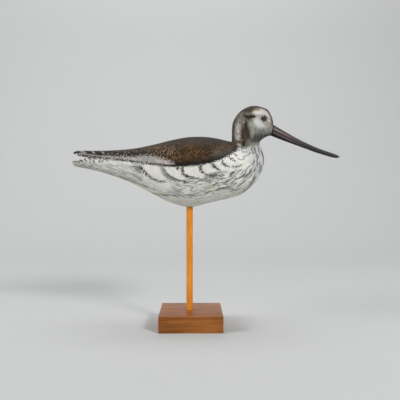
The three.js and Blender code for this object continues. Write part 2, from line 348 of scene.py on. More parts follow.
class CarvedForm:
    """A closed surface through mirrored sections, with a UV map and a flow for its paint."""

    MARGIN = 0.006  # of the UV map
    GRID_END = 0.955  # the map's right edge keeps the ends of the form and what is cut into it

    def __init__(self, sections: list[Section], halves: list[np.ndarray], inner: int, notch_end: int) -> None:
        """Places the points of both halves.

        Args:
            sections: From one end to the other.
            halves: For each, its right or left half as points across and up, from the back to the belly.
            inner: Up to the notch's end, this row and the next meet at the middle. Less than 0 for none.
            notch_end: Last section that they do so in.
        """
        self.inner = inner
        self.notch_end = notch_end
        self.stations = len(sections)
        self.last = len(halves[0]) - 1
        up = np.array([half[:, 1] for half in halves])
        across = np.array([half[:, 0] for half in halves])
        share = up / np.array([section.height for section in sections])[:, None]
        back = np.array([section.back for section in sections])[:, None, :]
        belly = np.array([section.belly for section in sections])[:, None, :]
        side_view = belly + (back - belly) * share[:, :, None]
        self.middle = np.zeros(up.shape, bool)
        self.middle[:, [0, self.last]] = True
        if inner >= 0:
            self.middle[: notch_end + 1, [inner, inner + 1]] = True
        across[self.middle] = 0
        self.grid = np.stack([side_view[:, :, 0], across, side_view[:, :, 1]], 2)
        along = np.linalg.norm(np.diff(self.grid, axis=0), axis=2)
        round_it = np.linalg.norm(np.diff(self.grid, axis=1), axis=2)
        self.along = np.concatenate([np.zeros((1, self.last + 1)), np.cumsum(along, 0)])
        self.round_it = np.concatenate([np.zeros((self.stations, 1)), np.cumsum(round_it, 1)], 1)

    def _corner(self, i: int, j: int, side: int) -> Point:
        """Where a point of the grid lies in the UV map."""
        reach = self.GRID_END - self.MARGIN
        u = self.MARGIN + reach * (0.5 + 0.5 * side * j / self.last)
        return u, mix(self.MARGIN, 1 - self.MARGIN, i / (self.stations - 1))

    def mesh(self, name: str) -> bpy.types.Mesh:
        """Joins the points into a closed mesh of triangles.

        Args:
            name: Name of the mesh.

        Returns:
            The mesh, in metres, with its UV map.
        """
        index = np.zeros((2, self.stations, self.last + 1), int)
        points = []
        for i in range(self.stations):
            for j in range(self.last + 1):
                x, across, z = self.grid[i, j] * MM
                index[:, i, j] = len(points)
                points.append((x, across, z))
                if not self.middle[i, j]:
                    index[1, i, j] = len(points)
                    points.append((x, -across, z))
        faces: list[tuple[int, ...]] = []
        corners: list[tuple[Point, ...]] = []

        def triangle(places: list[tuple[int, Point]]) -> None:
            """Adds a face, unless two of its corners are one point."""
            if len({place for place, _ in places}) == 3:
                faces.append(tuple(place for place, _ in places))
                corners.append(tuple(corner for _, corner in places))

        def quad(a: tuple, b: tuple, c: tuple, d: tuple) -> None:
            """Adds two triangles."""
            triangle([a, b, c])
            triangle([a, c, d])

        def at(i: int, j: int, half: int) -> tuple[int, Point]:
            """A point of the grid and its place in the UV map."""
            return index[half, i, j], self._corner(i, j, 1 - 2 * half)

        for i in range(self.stations - 1):
            for j in range(self.last):
                if j == self.inner and self.middle[i, j] and self.middle[i + 1, j]:
                    continue
                quad(at(i, j, 0), at(i + 1, j, 0), at(i + 1, j + 1, 0), at(i, j + 1, 0))
                quad(at(i, j + 1, 1), at(i + 1, j + 1, 1), at(i + 1, j, 1), at(i, j, 1))
        for i, shelf in ((0, 0.0), (self.stations - 1, 0.1)):
            for j in range(self.last):
                if j == self.inner and self.middle[i, j]:
                    continue
                ring = [(i, j, 1), (i, j, 0), (i, j + 1, 0), (i, j + 1, 1)]
                if i > 0:
                    ring.reverse()
                quad(*((index[h, n, m], self._shelf(n, m, h, shelf)) for n, m, h in ring))
        mesh = bpy.data.meshes.new(name)
        mesh.from_pydata(points, [], faces)
        mesh.uv_layers.new(name=UV_NAME).data.foreach_set("uv", np.array(corners).ravel())
        mesh.shade_smooth()
        return mesh

    def _shelf(self, i: int, j: int, half: int, low: float) -> Point:
        """Where a point of an end face lies in the UV map, on the shelf at its right edge."""
        size = 0.03
        across = self.grid[i, j, 1] * (1 - 2 * half)
        reach = max(1e-6, float(np.abs(self.grid[i, :, 1]).max()))
        rise = np.ptp(self.grid[i, :, 2])
        up = (self.grid[i, j, 2] - self.grid[i, :, 2].min()) / rise
        return 0.965 + size / 2 * (1 + 0.9 * across / reach), low + 0.01 + size * up

    def flow(self, mesh: bpy.types.Mesh) -> None:
        """Keeps on each point of a mesh how far along and round the form it is.

        Args:
            mesh: The finished mesh, whose points lie on or near the form.
        """
        tree = KDTree(self.along.size)
        for n, (x, across, z) in enumerate(self.grid.reshape(-1, 3) * MM):
            tree.insert((x, across, z), n)
        tree.balance()
        upward = self.round_it[:, -1:] - self.round_it
        table = np.stack([self.along.ravel(), self.round_it.ravel(), upward.ravel()], 1)
        places = points_of(mesh)
        nearest = [tree.find((x, abs(y), z))[1] for x, y, z in places]
        flow = table[nearest]
        flow[:, 1:] *= np.where(places[:, 1] < 0, -1, 1)[:, None]
        attribute = mesh.attributes.new(FLOW, "FLOAT_VECTOR", "POINT")
        attribute.data.foreach_set("vector", flow.ravel())


def points_of(mesh: bpy.types.Mesh) -> np.ndarray:
    """The points of a mesh, one row each."""
    places = np.zeros(len(mesh.vertices) * 3)
    mesh.vertices.foreach_get("co", places)
    return places.reshape(-1, 3)


def placed(mesh: bpy.types.Mesh, name: str) -> bpy.types.Object:
    """Puts a mesh into the scene."""
    piece = bpy.data.objects.new(name, mesh)
    bpy.context.scene.collection.objects.link(piece)
    return piece


def turned(name: str, outline: list[Point], sides: int, centre: tuple[float, float]) -> bpy.types.Object:
    """A closed form turned round an upright axis.

    Args:
        name: Name of the object.
        outline: Radius and height from its bottom up, in millimetres, without the two ends' middles.
        sides: Faces round it.
        centre: X and Y of the axis.

    Returns:
        The object.
    """
    points = []
    for radius, height in outline:
        for n in range(sides):
            angle = 2 * math.pi * n / sides
            x = centre[0] + radius * math.cos(angle)
            y = centre[1] + radius * math.sin(angle)
            points.append((x * MM, y * MM, height * MM))
    rings = len(outline)
    faces = []
    for ring in range(rings - 1):
        for n in range(sides):
            a, b = ring * sides + n, ring * sides + (n + 1) % sides
            faces.append((a, b, b + sides, a + sides))
    faces.append(tuple(range(sides - 1, -1, -1)))
    faces.append(tuple(range((rings - 1) * sides, rings * sides)))
    mesh = bpy.data.meshes.new(name)
    mesh.from_pydata(points, [], faces)
    mesh.shade_smooth()
    mesh.set_sharp_from_angle(angle=math.radians(50))
    return placed(mesh, name)


def ball(name: str, radius: float, centre: tuple[float, float, float], sides: int, rings: int) -> bpy.types.Object:
    """A round ball with its poles across the bird.

    Args:
        name: Name of the object.
        radius: In millimetres.
        centre: In millimetres.
        sides: Faces round it.
        rings: Faces from pole to pole.

    Returns:
        The object.
    """
    bm = bmesh.new()
    bmesh.ops.create_uvsphere(bm, u_segments=sides, v_segments=rings, radius=radius * MM)
    spin = Euler((math.pi / 2, 0, 0)).to_matrix().to_4x4()
    bmesh.ops.transform(bm, matrix=Matrix.Translation(Vector(centre) * MM) @ spin, verts=bm.verts)
    mesh = bpy.data.meshes.new(name)
    bm.to_mesh(mesh)
    bm.free()
    mesh.shade_smooth()
    return placed(mesh, name)


def carve(piece: bpy.types.Object, tools: list[bpy.types.Object]) -> None:
    """Cuts the tools' forms out of a piece, and clears the tools away.

    Args:
        piece: What is cut.
        tools: Closed forms that don't touch each other.
    """
    for tool in tools:
        if UV_NAME not in tool.data.uv_layers:
            tool.data.uv_layers.new(name=UV_NAME)
        shelf = tool.data.uv_layers[UV_NAME].data
        corner = np.array([0.965, 0.25 + 0.05 * tools.index(tool)])
        places = points_of(tool.data)
        low, size = places.min(0), np.ptp(places, axis=0)
        for loop in tool.data.loops:
            x, y, z = (places[loop.vertex_index] - low) / size
            shelf[loop.index].uv = corner + np.array([x, (y + z) / 2]) * 0.03
        cut = piece.modifiers.new("cut", "BOOLEAN")
        cut.operation = "DIFFERENCE"
        cut.solver = "EXACT"
        cut.object = tool
    bpy.context.view_layer.update()
    evaluated = piece.evaluated_get(bpy.context.evaluated_depsgraph_get())
    carved = bpy.data.meshes.new_from_object(evaluated)
    carved.name = piece.name
    piece.modifiers.clear()
    piece.data = carved
    for tool in tools:
        bpy.data.objects.remove(tool)


@dataclass(frozen=True)
class Stroke:
    """A brush stroke through points of the side view.

    The width is one number, or one for each point.
    """

    points: tuple[Point, ...]
    width: float | tuple[float, ...]

    def inside(self, at: np.ndarray) -> np.ndarray:
        """How far places are inside the stroke's edge, in millimetres. Less than 0 is outside.

        Args:
            at: Places in the side view, one row each.

        Returns:
            One number a place.
        """
        widths = self.width if isinstance(self.width, tuple) else (self.width,) * len(self.points)
        nodes = np.array([(*point, width / 2) for point, width in zip(self.points, widths)])
        path = rounded(nodes, closed=False)
        best = np.full(len(at), -np.inf)
        for one, after in zip(path, path[1:]):
            t = along_segment(at, one[:2], after[:2])
            nearest = one[:2] + t[:, None] * (after[:2] - one[:2])
            reach = mix(one[2], after[2], t) - np.hypot(*(at - nearest).T)
            best = np.maximum(best, reach)
        return best


@dataclass(frozen=True)
class Patch:
    """An area of the side view with a smooth outline through points."""

    points: tuple[Point, ...]

    def inside(self, at: np.ndarray) -> np.ndarray:
        """How far places are inside the outline, in millimetres. Less than 0 is outside.

        Args:
            at: Places in the side view, one row each.

        Returns:
            One number a place.
        """
        path = rounded(np.array(self.points, float), closed=True)
        gap = np.full(len(at), np.inf)
        within = np.zeros(len(at), bool)
        for one, after in zip(path, np.roll(path, -1, axis=0)):
            t = along_segment(at, one, after)
            gap = np.minimum(gap, np.hypot(*(at - one - t[:, None] * (after - one)).T))
            if one[1] != after[1]:
                spans = (at[:, 1] < one[1]) != (at[:, 1] < after[1])
                crossing = one[0] + (at[:, 1] - one[1]) * (after[0] - one[0]) / (after[1] - one[1])
                within ^= spans & (at[:, 0] < crossing)
        return np.where(within, gap, -gap)


def along_segment(at: np.ndarray, start: np.ndarray, end: np.ndarray) -> np.ndarray:
    """The share of a segment at which it is nearest to each place."""
    move = end - start
    return np.clip((at - start) @ move / max(1e-9, float(move @ move)), 0, 1)


def rounded(nodes: np.ndarray, closed: bool) -> np.ndarray:
    """A smooth line through nodes.

    Args:
        nodes: One row each.
        closed: Whether it comes back to its start.

    Returns:
        The nodes with further points between them.
    """
    cuts = 4
    if len(nodes) < 3:
        return nodes
    if closed:
        padded = np.concatenate([nodes[-1:], nodes, nodes[:2]])
    else:
        padded = np.concatenate([nodes[:1], nodes, nodes[-1:]])
    out = []
    for a, b, c, d in zip(padded, padded[1:], padded[2:], padded[3:]):
        for n in range(cuts):
            t = n / cuts
            pull = (c - a) * t + (2 * a - 5 * b + 4 * c - d) * t**2 + (3 * b - a - 3 * c + d) * t**3
            out.append(b + 0.5 * pull)
    if not closed:
        out.append(nodes[-1])
    return np.array(out)


@dataclass(frozen=True)
class Coat:
    """One colour of paint, laid over the coats before it.

    The feather is half the width of its soft edge and ragged is how far that edge wanders, both in
    millimetres. With a second colour the two are dabbed together.
    """

    name: str
    colour: Colour
    marks: tuple[Stroke | Patch, ...]
    feather: float = 0.6
    ragged: float = 0.6
    opacity: float = 1.0
    second: Colour | None = None
    grain: Grain = Grain.DABBED
    brush: Brush = Brush.FILL


# The bird's paint, from its ground up
GROUND_COATS = (
    Coat(
        "belly_lines",
        (158, 160, 151),
        (Patch(((-175, 236), (-100, 236), (0, 232), (60, 236), (112, 240), (112, 215), (90, 190), (0, 160), (-60, 180), (-175, 222))),),
        feather=2,
        opacity=0.5,
        brush=Brush.LINES,
    ),
    Coat(
        "belly_yellow",
        (208, 208, 176),
        (
            Stroke(((20, 198.5), (34.5, 198.5)), 6),
            Stroke(((-83.5, 201.5), (-63.5, 204)), 6),
            Stroke(((-52, 191), (-37.5, 191)), 5),
            Stroke(((62, 193), (72, 197)), 6),
            Stroke(((-130, 221), (-110, 217)), 4),
        ),
        feather=3.5,
        ragged=4,
        opacity=0.5,
        grain=Grain.STREAKED,
    ),
    Coat(
        "belly_lilac",
        (176, 177, 190),
        (Stroke(((-33, 192.5), (-16, 192.5)), 5), Stroke(((-93, 231), (-81, 229.5)), 4)),
        feather=3,
        ragged=3,
        opacity=0.55,
        grain=Grain.STREAKED,
    ),
    Coat(
        "belly_underside_shade",
        (160, 160, 148),
        (Stroke(((-110, 212), (-60, 192), (-30, 177), (0, 172), (30, 178), (55, 184)), (4, 7, 9, 10, 8, 5)),),
        feather=5,
        ragged=3,
        opacity=0.3,
        grain=Grain.STREAKED,
    ),
    # Painted shade: a darker streaked band along the underside of the belly
    Coat(
        "breast_white",
        (212, 213, 211),
        (Patch(((70, 259), (78, 257), (95, 263), (104, 265), (108, 250), (109, 231), (96, 219), (80, 221), (60, 227), (64, 246))),),
        feather=5,
        ragged=4,
        opacity=0.85,
        grain=Grain.STREAKED,
    ),
    Coat(
        "breast_lines",
        (78, 80, 74),
        (Patch(((70.5, 257.5), (85, 262), (102.5, 266), (108, 253), (109, 239), (106, 224.5), (97, 213), (84, 194), (66, 189), (48, 199), (44, 214), (58, 224), (73.5, 227), (86, 239), (83, 247), (72, 252))),),
        feather=4,
        ragged=2,
        opacity=0.8,
        brush=Brush.HAIRS,
    ),
    Coat(
        "flank_hairs",
        (96, 99, 91),
        (Patch(((-20, 210), (20, 215), (52, 222), (52, 198), (20, 184), (-30, 188))),),
        feather=5,
        ragged=3,
        opacity=0.65,
        brush=Brush.HAIRS,
    ),
)

TAIL_COATS = (
    Coat(
        "tail_shade",
        (164, 166, 156),
        (Stroke(((-170, 232), (-145.5, 227), (-117, 219), (-88, 209)), (5, 5, 4, 3)),),
        feather=3,
        ragged=3,
        opacity=0.5,
        grain=Grain.STREAKED,
    ),
    Coat(
        "tail_lines",
        (96, 98, 89),
        (Patch(((-172, 236), (-131, 235), (-95, 231.5), (-72, 225), (-72, 207), (-102.5, 213), (-138.5, 224), (-172, 226))),),
        feather=2,
        opacity=0.55,
        brush=Brush.HAIRS,
    ),
    Coat("tail_tip", (84, 86, 74), (Stroke(((-170.5, 237.2), (-160, 235.6)), 2.6),), feather=1.2, opacity=0.85),
    Coat(
        "tail_white",
        (228, 225, 220),
        (Patch(((-163, 241.5), (-145.5, 243.5), (-131, 240.8), (-117, 238), (-131, 234.6), (-160, 237.6))),),
        feather=0.8,
        ragged=1,
    ),
    Coat(
        "tail_bars",
        (38, 36, 32),
        (
            Stroke(((-159.8, 238.4), (-157, 237.4)), 1.8),
            Stroke(((-152.5, 241), (-150.6, 237.4)), (3, 1.6)),
            Stroke(((-145, 243), (-144.6, 236)), (2.6, 1.6)),
            Stroke(((-138, 241.5), (-139.4, 237)), (2.8, 1.4)),
            Stroke(((-131, 241), (-131.8, 235.5)), (2.6, 1.6)),
            Stroke(((-125.5, 240.5), (-127, 236)), (2.6, 1.2)),
            Stroke(((-119.5, 239.5), (-121.6, 237)), (2, 1)),
        ),
        feather=0.6,
        ragged=1,
        grain=Grain.SPECKED,
    ),
)

FLANK_COATS = (
    Coat(
        "flank_grey",
        (112, 112, 105),
        (
            Patch(((-82, 232), (-70, 231), (-68, 226), (-72, 221), (-78, 222))),
            Stroke(((-44, 230), (-39, 224), (-35.5, 217), (-29, 212), (-19, 209.5)), (6, 8, 9, 6, 3)),
            Stroke(((-13, 229), (-12, 218)), 5),
            Stroke(((13, 230), (16, 221)), 5),
            Stroke(((14, 214), (28, 213.5), (42, 216)), (3, 5, 3)),
        ),
        feather=2.4,
        ragged=2.8,
        opacity=0.85,
        second=(70, 69, 63),
        grain=Grain.SPECKED,
    ),
    Coat(
        "flank_white",
        (230, 228, 219),
        (
            Patch(((-68, 230.5), (-56, 232), (-47, 231), (-45, 225), (-42, 217), (-36, 211.5), (-44, 209.5), (-52, 212.5), (-59, 217.5), (-64, 223.5))),
            Patch(((-37, 229.5), (-26, 230), (-17, 229.5), (-13.5, 224), (-12, 218), (-5.5, 212), (-15, 210.8), (-24, 212), (-30, 217.5), (-35, 224))),
            Patch(((-11, 225), (-7, 229), (1, 231), (12, 230.5), (12.5, 224.5), (19, 218), (18, 213.5), (11, 212.5), (1, 216), (-8, 220))),
            Patch(((14, 229), (20, 232.5), (29.5, 234), (32, 229), (40.5, 223), (36, 219.4), (22.5, 219.4), (16.5, 222.5), (18, 225))),
            Patch(((32, 236), (37.5, 239), (44.5, 236), (48, 230.5), (43, 227.5), (36, 229.5))),
            Patch(((46.5, 239), (51.5, 241.5), (61, 237), (62.5, 232.5), (56, 231), (49, 235))),
            Patch(((58, 246), (66, 248.5), (72, 244), (76, 238), (86, 234), (88, 229), (78, 225.5), (68, 229), (66, 236))),
            Patch(((45, 226), (54, 229), (66, 227.5), (72, 226), (62, 222.5), (48, 222.5))),
        ),
        feather=0.8,
        ragged=1.1,
        second=(220, 218, 210),
        grain=Grain.SPECKED,
    ),
    Coat(
        "flank_lines",
        (44, 42, 37),
        (
            Stroke(((-72, 228), (-67, 222.5), (-60.5, 215), (-51, 210), (-46, 208.3), (-38, 207.5)), (3.6, 3, 3, 2.4, 2.2, 1)),
            Stroke(((-13, 229.5), (-11.5, 219), (-6, 215.5), (2, 213.2), (11, 211.5)), (3.4, 3.4, 3.8, 2.8, 1.4)),
            Stroke(((13.5, 232), (13.6, 227), (15.5, 222.5), (20, 219.5)), (3, 3.8, 3.4, 1.6)),
            Stroke(((21, 217.6), (29, 216.6), (36, 218)), (2, 3.4, 1.6)),
            Stroke(((29.5, 236), (33, 229.5), (40.5, 225)), (3.6, 4.2, 2.2)),
            Stroke(((44, 239), (47.5, 232.5), (54, 229.5)), (2.6, 3.6, 2.2)),
            Stroke(((53, 245), (58, 240.5), (63.5, 237.5)), (2.6, 2.6, 1.4)),
            Stroke(((60, 229), (67, 229.5), (73, 232)), (1.4, 1.8, 1)),
            Stroke(((62, 247.5), (66, 245)), 1.4),
            Stroke(((-11, 207.5), (-6, 206.8)), 2.6),
        ),
        feather=0.9,
        ragged=1.1,
        grain=Grain.SPECKED,
    ),
    Coat(
        "flank_ticks",
        (80, 80, 74),
        (
            Stroke(((-34, 219), (-27, 213), (-18, 210)), (2.4, 3.6, 1.6)),
            Stroke(((-23, 210), (-10, 209)), 1.6),
            Stroke(((28, 216.5), (37, 217.5)), 3),
            Stroke(((26, 219), (40, 221), (52, 221.5)), (1.2, 2, 1.4)),
            Stroke(((57.5, 219.5), (62, 222)), 2.4),
            Stroke(((65, 223.5), (72, 224.5)), 1.6),
            Stroke(((11, 211.5), (17, 211)), 2.4),
            Stroke(((32, 203), (38, 206)), 2),
            Stroke(((22, 208), (30, 209)), 1.4),
            Stroke(((44, 211), (50, 213)), 1.4),
        ),
        feather=1,
        ragged=1.6,
        opacity=0.85,
        grain=Grain.STREAKED,
    ),
    Coat(
        "breast_streaks",
        (92, 95, 88),
        (
            Stroke(((75.5, 243), (80.5, 245.5), (86, 249.5)), 1.6),
            Stroke(((74, 250.5), (79, 250.5)), 1.6),
            Stroke(((88.5, 248), (92, 250.5)), 1.6),
            Stroke(((91.5, 238), (88, 233), (83.5, 229.5), (79.5, 226), (78.5, 222)), (1.8, 2, 1.8, 1.4, 1.2)),
            Stroke(((93, 226), (91, 223)), 1.6),
            Stroke(((78, 208.5), (72, 204), (66.5, 200)), 1.5),
            Stroke(((97.5, 254.5), (100, 257.5)), 1.6),
            Stroke(((93.5, 214.5), (89.5, 208.5), (82, 198.5), (75, 193.5)), 2.2),
            Stroke(((57.5, 205.5), (67.5, 211.5), (76.5, 218)), 1.4),
            Stroke(((44.5, 197), (56, 200.5), (65, 205)), 1.4),
            Stroke(((20, 191), (34.5, 195), (47.5, 200)), 1.4),
            Stroke(((-59, 191), (-37.5, 188.5), (-16, 187.5), (5.5, 188.5)), 1.2),
            Stroke(((-102.5, 215.5), (-73.5, 204), (-52, 195.5)), 1.2),
            Stroke(((73, 266), (73.5, 257.5)), 1.4),
            Stroke(((81.5, 266), (79.5, 261), (80.5, 255)), 1.6),
            Stroke(((87, 266), (88.5, 260), (86.5, 253)), 1.6),
            Stroke(((93, 265), (91.5, 259), (93, 253)), 1.6),
            Stroke(((98, 264), (97, 259)), 1.4),
            Stroke(((72, 254), (78, 256), (83, 259)), 1.5),
            Stroke(((68, 241), (72, 239), (76, 240.5)), 1.4),
            Stroke(((98, 244), (95, 238), (97, 232)), 1.4),
        ),
        feather=0.9,
        ragged=1.4,
        opacity=0.85,
        grain=Grain.STREAKED,
    ),
    Coat(
        "breast_edge",
        (80, 81, 74),
        (
            Stroke(((101.5, 257), (102.5, 249), (104.5, 243), (104.5, 232)), (1.6, 2.2, 2.6, 1.8)),
            Stroke(((102, 231), (98, 221.5)), 2),
            Stroke(((87, 223), (82, 218), (77.5, 215)), (1.8, 3.2, 1.6)),
        ),
        feather=0.9,
        ragged=1.3,
        opacity=0.8,
        grain=Grain.STREAKED,
    ),
)

HEAD_COATS = (
    Coat(
        "head_grey",
        (132, 130, 119),
        (Patch(((58, 262), (57, 285), (58, 300), (66, 312), (75, 320), (102, 324), (120, 310), (122, 293), (118, 270), (108, 268), (99, 262), (88, 260), (76.5, 256), (67, 263))),),
        feather=2.2,
        ragged=2.4,
        second=(100, 98, 87),
        grain=Grain.STREAKED,
    ),
    Coat(
        "face",
        (194, 188, 180),
        (Patch(((90, 304), (93, 310), (99, 312.5), (107, 310.5), (113.5, 304), (115, 294), (113.5, 285), (106, 282), (96, 283), (90, 288), (87.5, 297))),),
        feather=3.6,
        ragged=3.4,
    ),
    Coat(
        "nape",
        (222, 212, 208),
        (Patch(((66, 291), (70, 290), (71.5, 281), (70, 270), (66, 268), (64, 280))),),
        feather=2.6,
        ragged=3,
    ),
    Coat(
        "cheek",
        (205, 211, 207),
        (Patch(((90, 297), (96.5, 296.5), (101, 293), (104, 289), (101, 286.5), (96, 286), (91, 288.5), (88.5, 292))),),
        feather=3.6,
        ragged=3,
    ),
    Coat("cheek_blue", (148, 158, 152), (Stroke(((88.5, 292), (92, 287)), 5),), feather=3, ragged=2.5, opacity=0.75),
    Coat("forehead", (206, 196, 189), (Stroke(((109.5, 306), (112, 296)), 4),), feather=2.4, ragged=2),
    Coat(
        "brow",
        (196, 186, 181),
        (Stroke(((101, 310), (106.5, 307.5), (107.5, 302.5)), 4),),
        feather=2.4,
        ragged=2,
        opacity=0.8,
    ),
    Coat("brow_white", (198, 204, 200), (Stroke(((94.5, 306.5), (100, 307)), 3.6),), feather=2, ragged=2),
    Coat("brow_peach", (218, 198, 178), (Stroke(((90, 308), (94, 308.5)), 2.8),), feather=1.6, ragged=1),
    Coat("brow_tan", (134, 114, 92), (Stroke(((89, 311), (98, 312.3)), 3.4),), feather=2, ragged=1.6),
    Coat(
        "eye_shade",
        (132, 126, 118),
        (Stroke(((92, 302), (100, 302.5)), 3.4), Stroke(((98, 299.5), (101, 298)), 2.4)),
        feather=2.2,
        ragged=2,
        opacity=0.8,
    ),
    Coat(
        "lore",
        (82, 73, 68),
        (
            Stroke(((106, 297.5), (111.5, 293.5), (115.5, 289.5)), 1.3),
            Stroke(((105.5, 295), (110.5, 290.5), (114.5, 285.5)), 1.3),
            Stroke(((103.5, 293), (109, 288), (113, 283.5)), 1.1),
            Stroke(((109, 301), (114, 297)), 1),
        ),
        feather=1,
        ragged=0.9,
        opacity=0.85,
    ),
    Coat("eye_ring", (118, 96, 74), (Stroke(((105.2, 298.6), (105.4, 298.6)), 10.4),), feather=1.5, ragged=1.4, opacity=0.8),
    Coat("eye_lid", (22, 16, 12), (Stroke(((104.7, 298.9), (104.8, 298.9)), 8.0),), feather=0.5, ragged=0.3),
    Coat(
        "chin",
        (118, 121, 117),
        (Stroke(((87, 282), (102.5, 280.5), (116, 282)), (7, 7, 6)),),
        feather=4,
        ragged=3.4,
        second=(152, 156, 151),
    ),
    Coat(
        "throat",
        (58, 58, 53),
        (Patch(((84, 275), (95, 276.5), (105, 276.5), (117, 277.5), (117, 272), (109, 270.5), (102.5, 266.5), (95, 263), (87, 263.5), (83, 270))),),
        feather=2.6,
        ragged=3,
        second=(84, 84, 79),
    ),
    Coat("neck_purple", (142, 136, 138), (Stroke(((86, 263.5), (98, 262)), 3),), feather=2.4, ragged=2, opacity=0.6),
    Coat("neck_olive", (158, 154, 139), (Stroke(((87.5, 296), (85.5, 286.5), (88, 277)), 6),), feather=3, ragged=3),
    Coat(
        "head_hairs",
        (66, 60, 50),
        (Patch(((59, 262), (58, 300), (66, 310), (80, 306), (90, 303), (86, 290), (88, 277), (98, 272), (86, 262), (76.5, 256), (67, 263))),),
        feather=2.4,
        ragged=2,
        opacity=0.6,
        brush=Brush.HAIRS,
    ),
    Coat(
        "head_dabs",
        (62, 56, 46),
        (
            Patch(((59, 262), (58, 300), (66, 312), (84, 313), (91, 306), (93, 299), (88, 292), (86, 284), (92, 279), (88, 262), (76.5, 256), (67, 263))),
            Stroke(((92, 282), (104, 279.5), (114, 278)), (6, 8, 7)),
        ),
        feather=3,
        ragged=2,
        opacity=0.5,
        brush=Brush.DARK,
    ),
    Coat(
        "head_glints",
        (206, 204, 196),
        (
            Patch(((66, 268), (64, 282), (68, 296), (78, 300), (84, 296), (90, 292), (90, 280), (104, 278), (112, 282), (112, 276), (92, 272), (74, 262))),
        ),
        feather=3,
        ragged=2,
        opacity=0.5,
        brush=Brush.LIGHT,
    ),
    Coat(
        "neck_band",
        (44, 37, 29),
        (
            Stroke(((78, 303), (79.5, 296), (79, 288)), (4, 2.4, 7)),
            Patch(((74, 286), (78, 290), (83, 287), (85.5, 279), (85, 271), (80.5, 265), (76.5, 259), (74, 262), (72, 271), (71.5, 279))),
        ),
        feather=2.6,
        ragged=3.6,
        second=(84, 73, 61),
    ),
    Coat("neck_tip", (24, 23, 21), (Stroke(((76, 265), (75.5, 259.5)), 3.6),), feather=1, ragged=1.4),
    Coat(
        "crown",
        (36, 29, 22),
        (
            Patch(((60, 300), (61, 311), (70.5, 322), (88, 326), (104, 322), (104, 315.4), (94.5, 313.4), (90, 311), (86, 307.5), (80, 308), (72, 307), (66, 303))),
            Stroke(((93.5, 316), (102.5, 315), (109.5, 311), (114.7, 304.5), (116.8, 298), (118, 290.5)), (4, 3.6, 3.2, 3, 2.8, 2.6)),
            Stroke(((62, 300), (60, 285), (60, 266)), (4, 3, 3)),
        ),
        feather=1.8,
        ragged=2.2,
        second=(58, 47, 35),
    ),
    Coat(
        "eye_bar",
        (38, 30, 23),
        (Stroke(((77, 303.5), (82, 300.5), (89, 302), (92.5, 301)), (3, 5, 4.4, 2)),),
        feather=1.6,
        ragged=2,
    ),
    Coat(
        "mantle_edge",
        (50, 42, 34),
        (Stroke(((50, 267), (60, 266), (72, 264)), 4.6), Stroke(((60, 262), (68, 259), (74, 257)), (4, 3, 2))),
        feather=1.8,
        ragged=2.6,
        opacity=0.9,
        second=(84, 72, 58),
    ),
)

WING = Patch(((-189, 248), (-167, 247.5), (-154.5, 244), (-131, 241), (-108, 238.5), (-83.5, 236.5), (-65, 234), (-44.5, 231), (-21.5, 229.4), (13, 231.5), (30, 235), (44.5, 240), (57.5, 247.5), (65, 252), (68, 256), (67.5, 261), (64, 264.5), (58, 267.5), (54, 274), (40, 285), (0, 290), (-100, 285), (-189, 285)))
LOWER_WING = Patch(((-128, 243.6), (-114, 243.4), (-102, 243), (-88, 243), (-73.5, 243.6), (-59, 243.8), (-45, 241.4), (-33, 237.6), (-24, 233), (-31, 230), (-44.5, 231.4), (-65, 233.5), (-83.5, 236.5), (-108, 239), (-128, 241.5)))

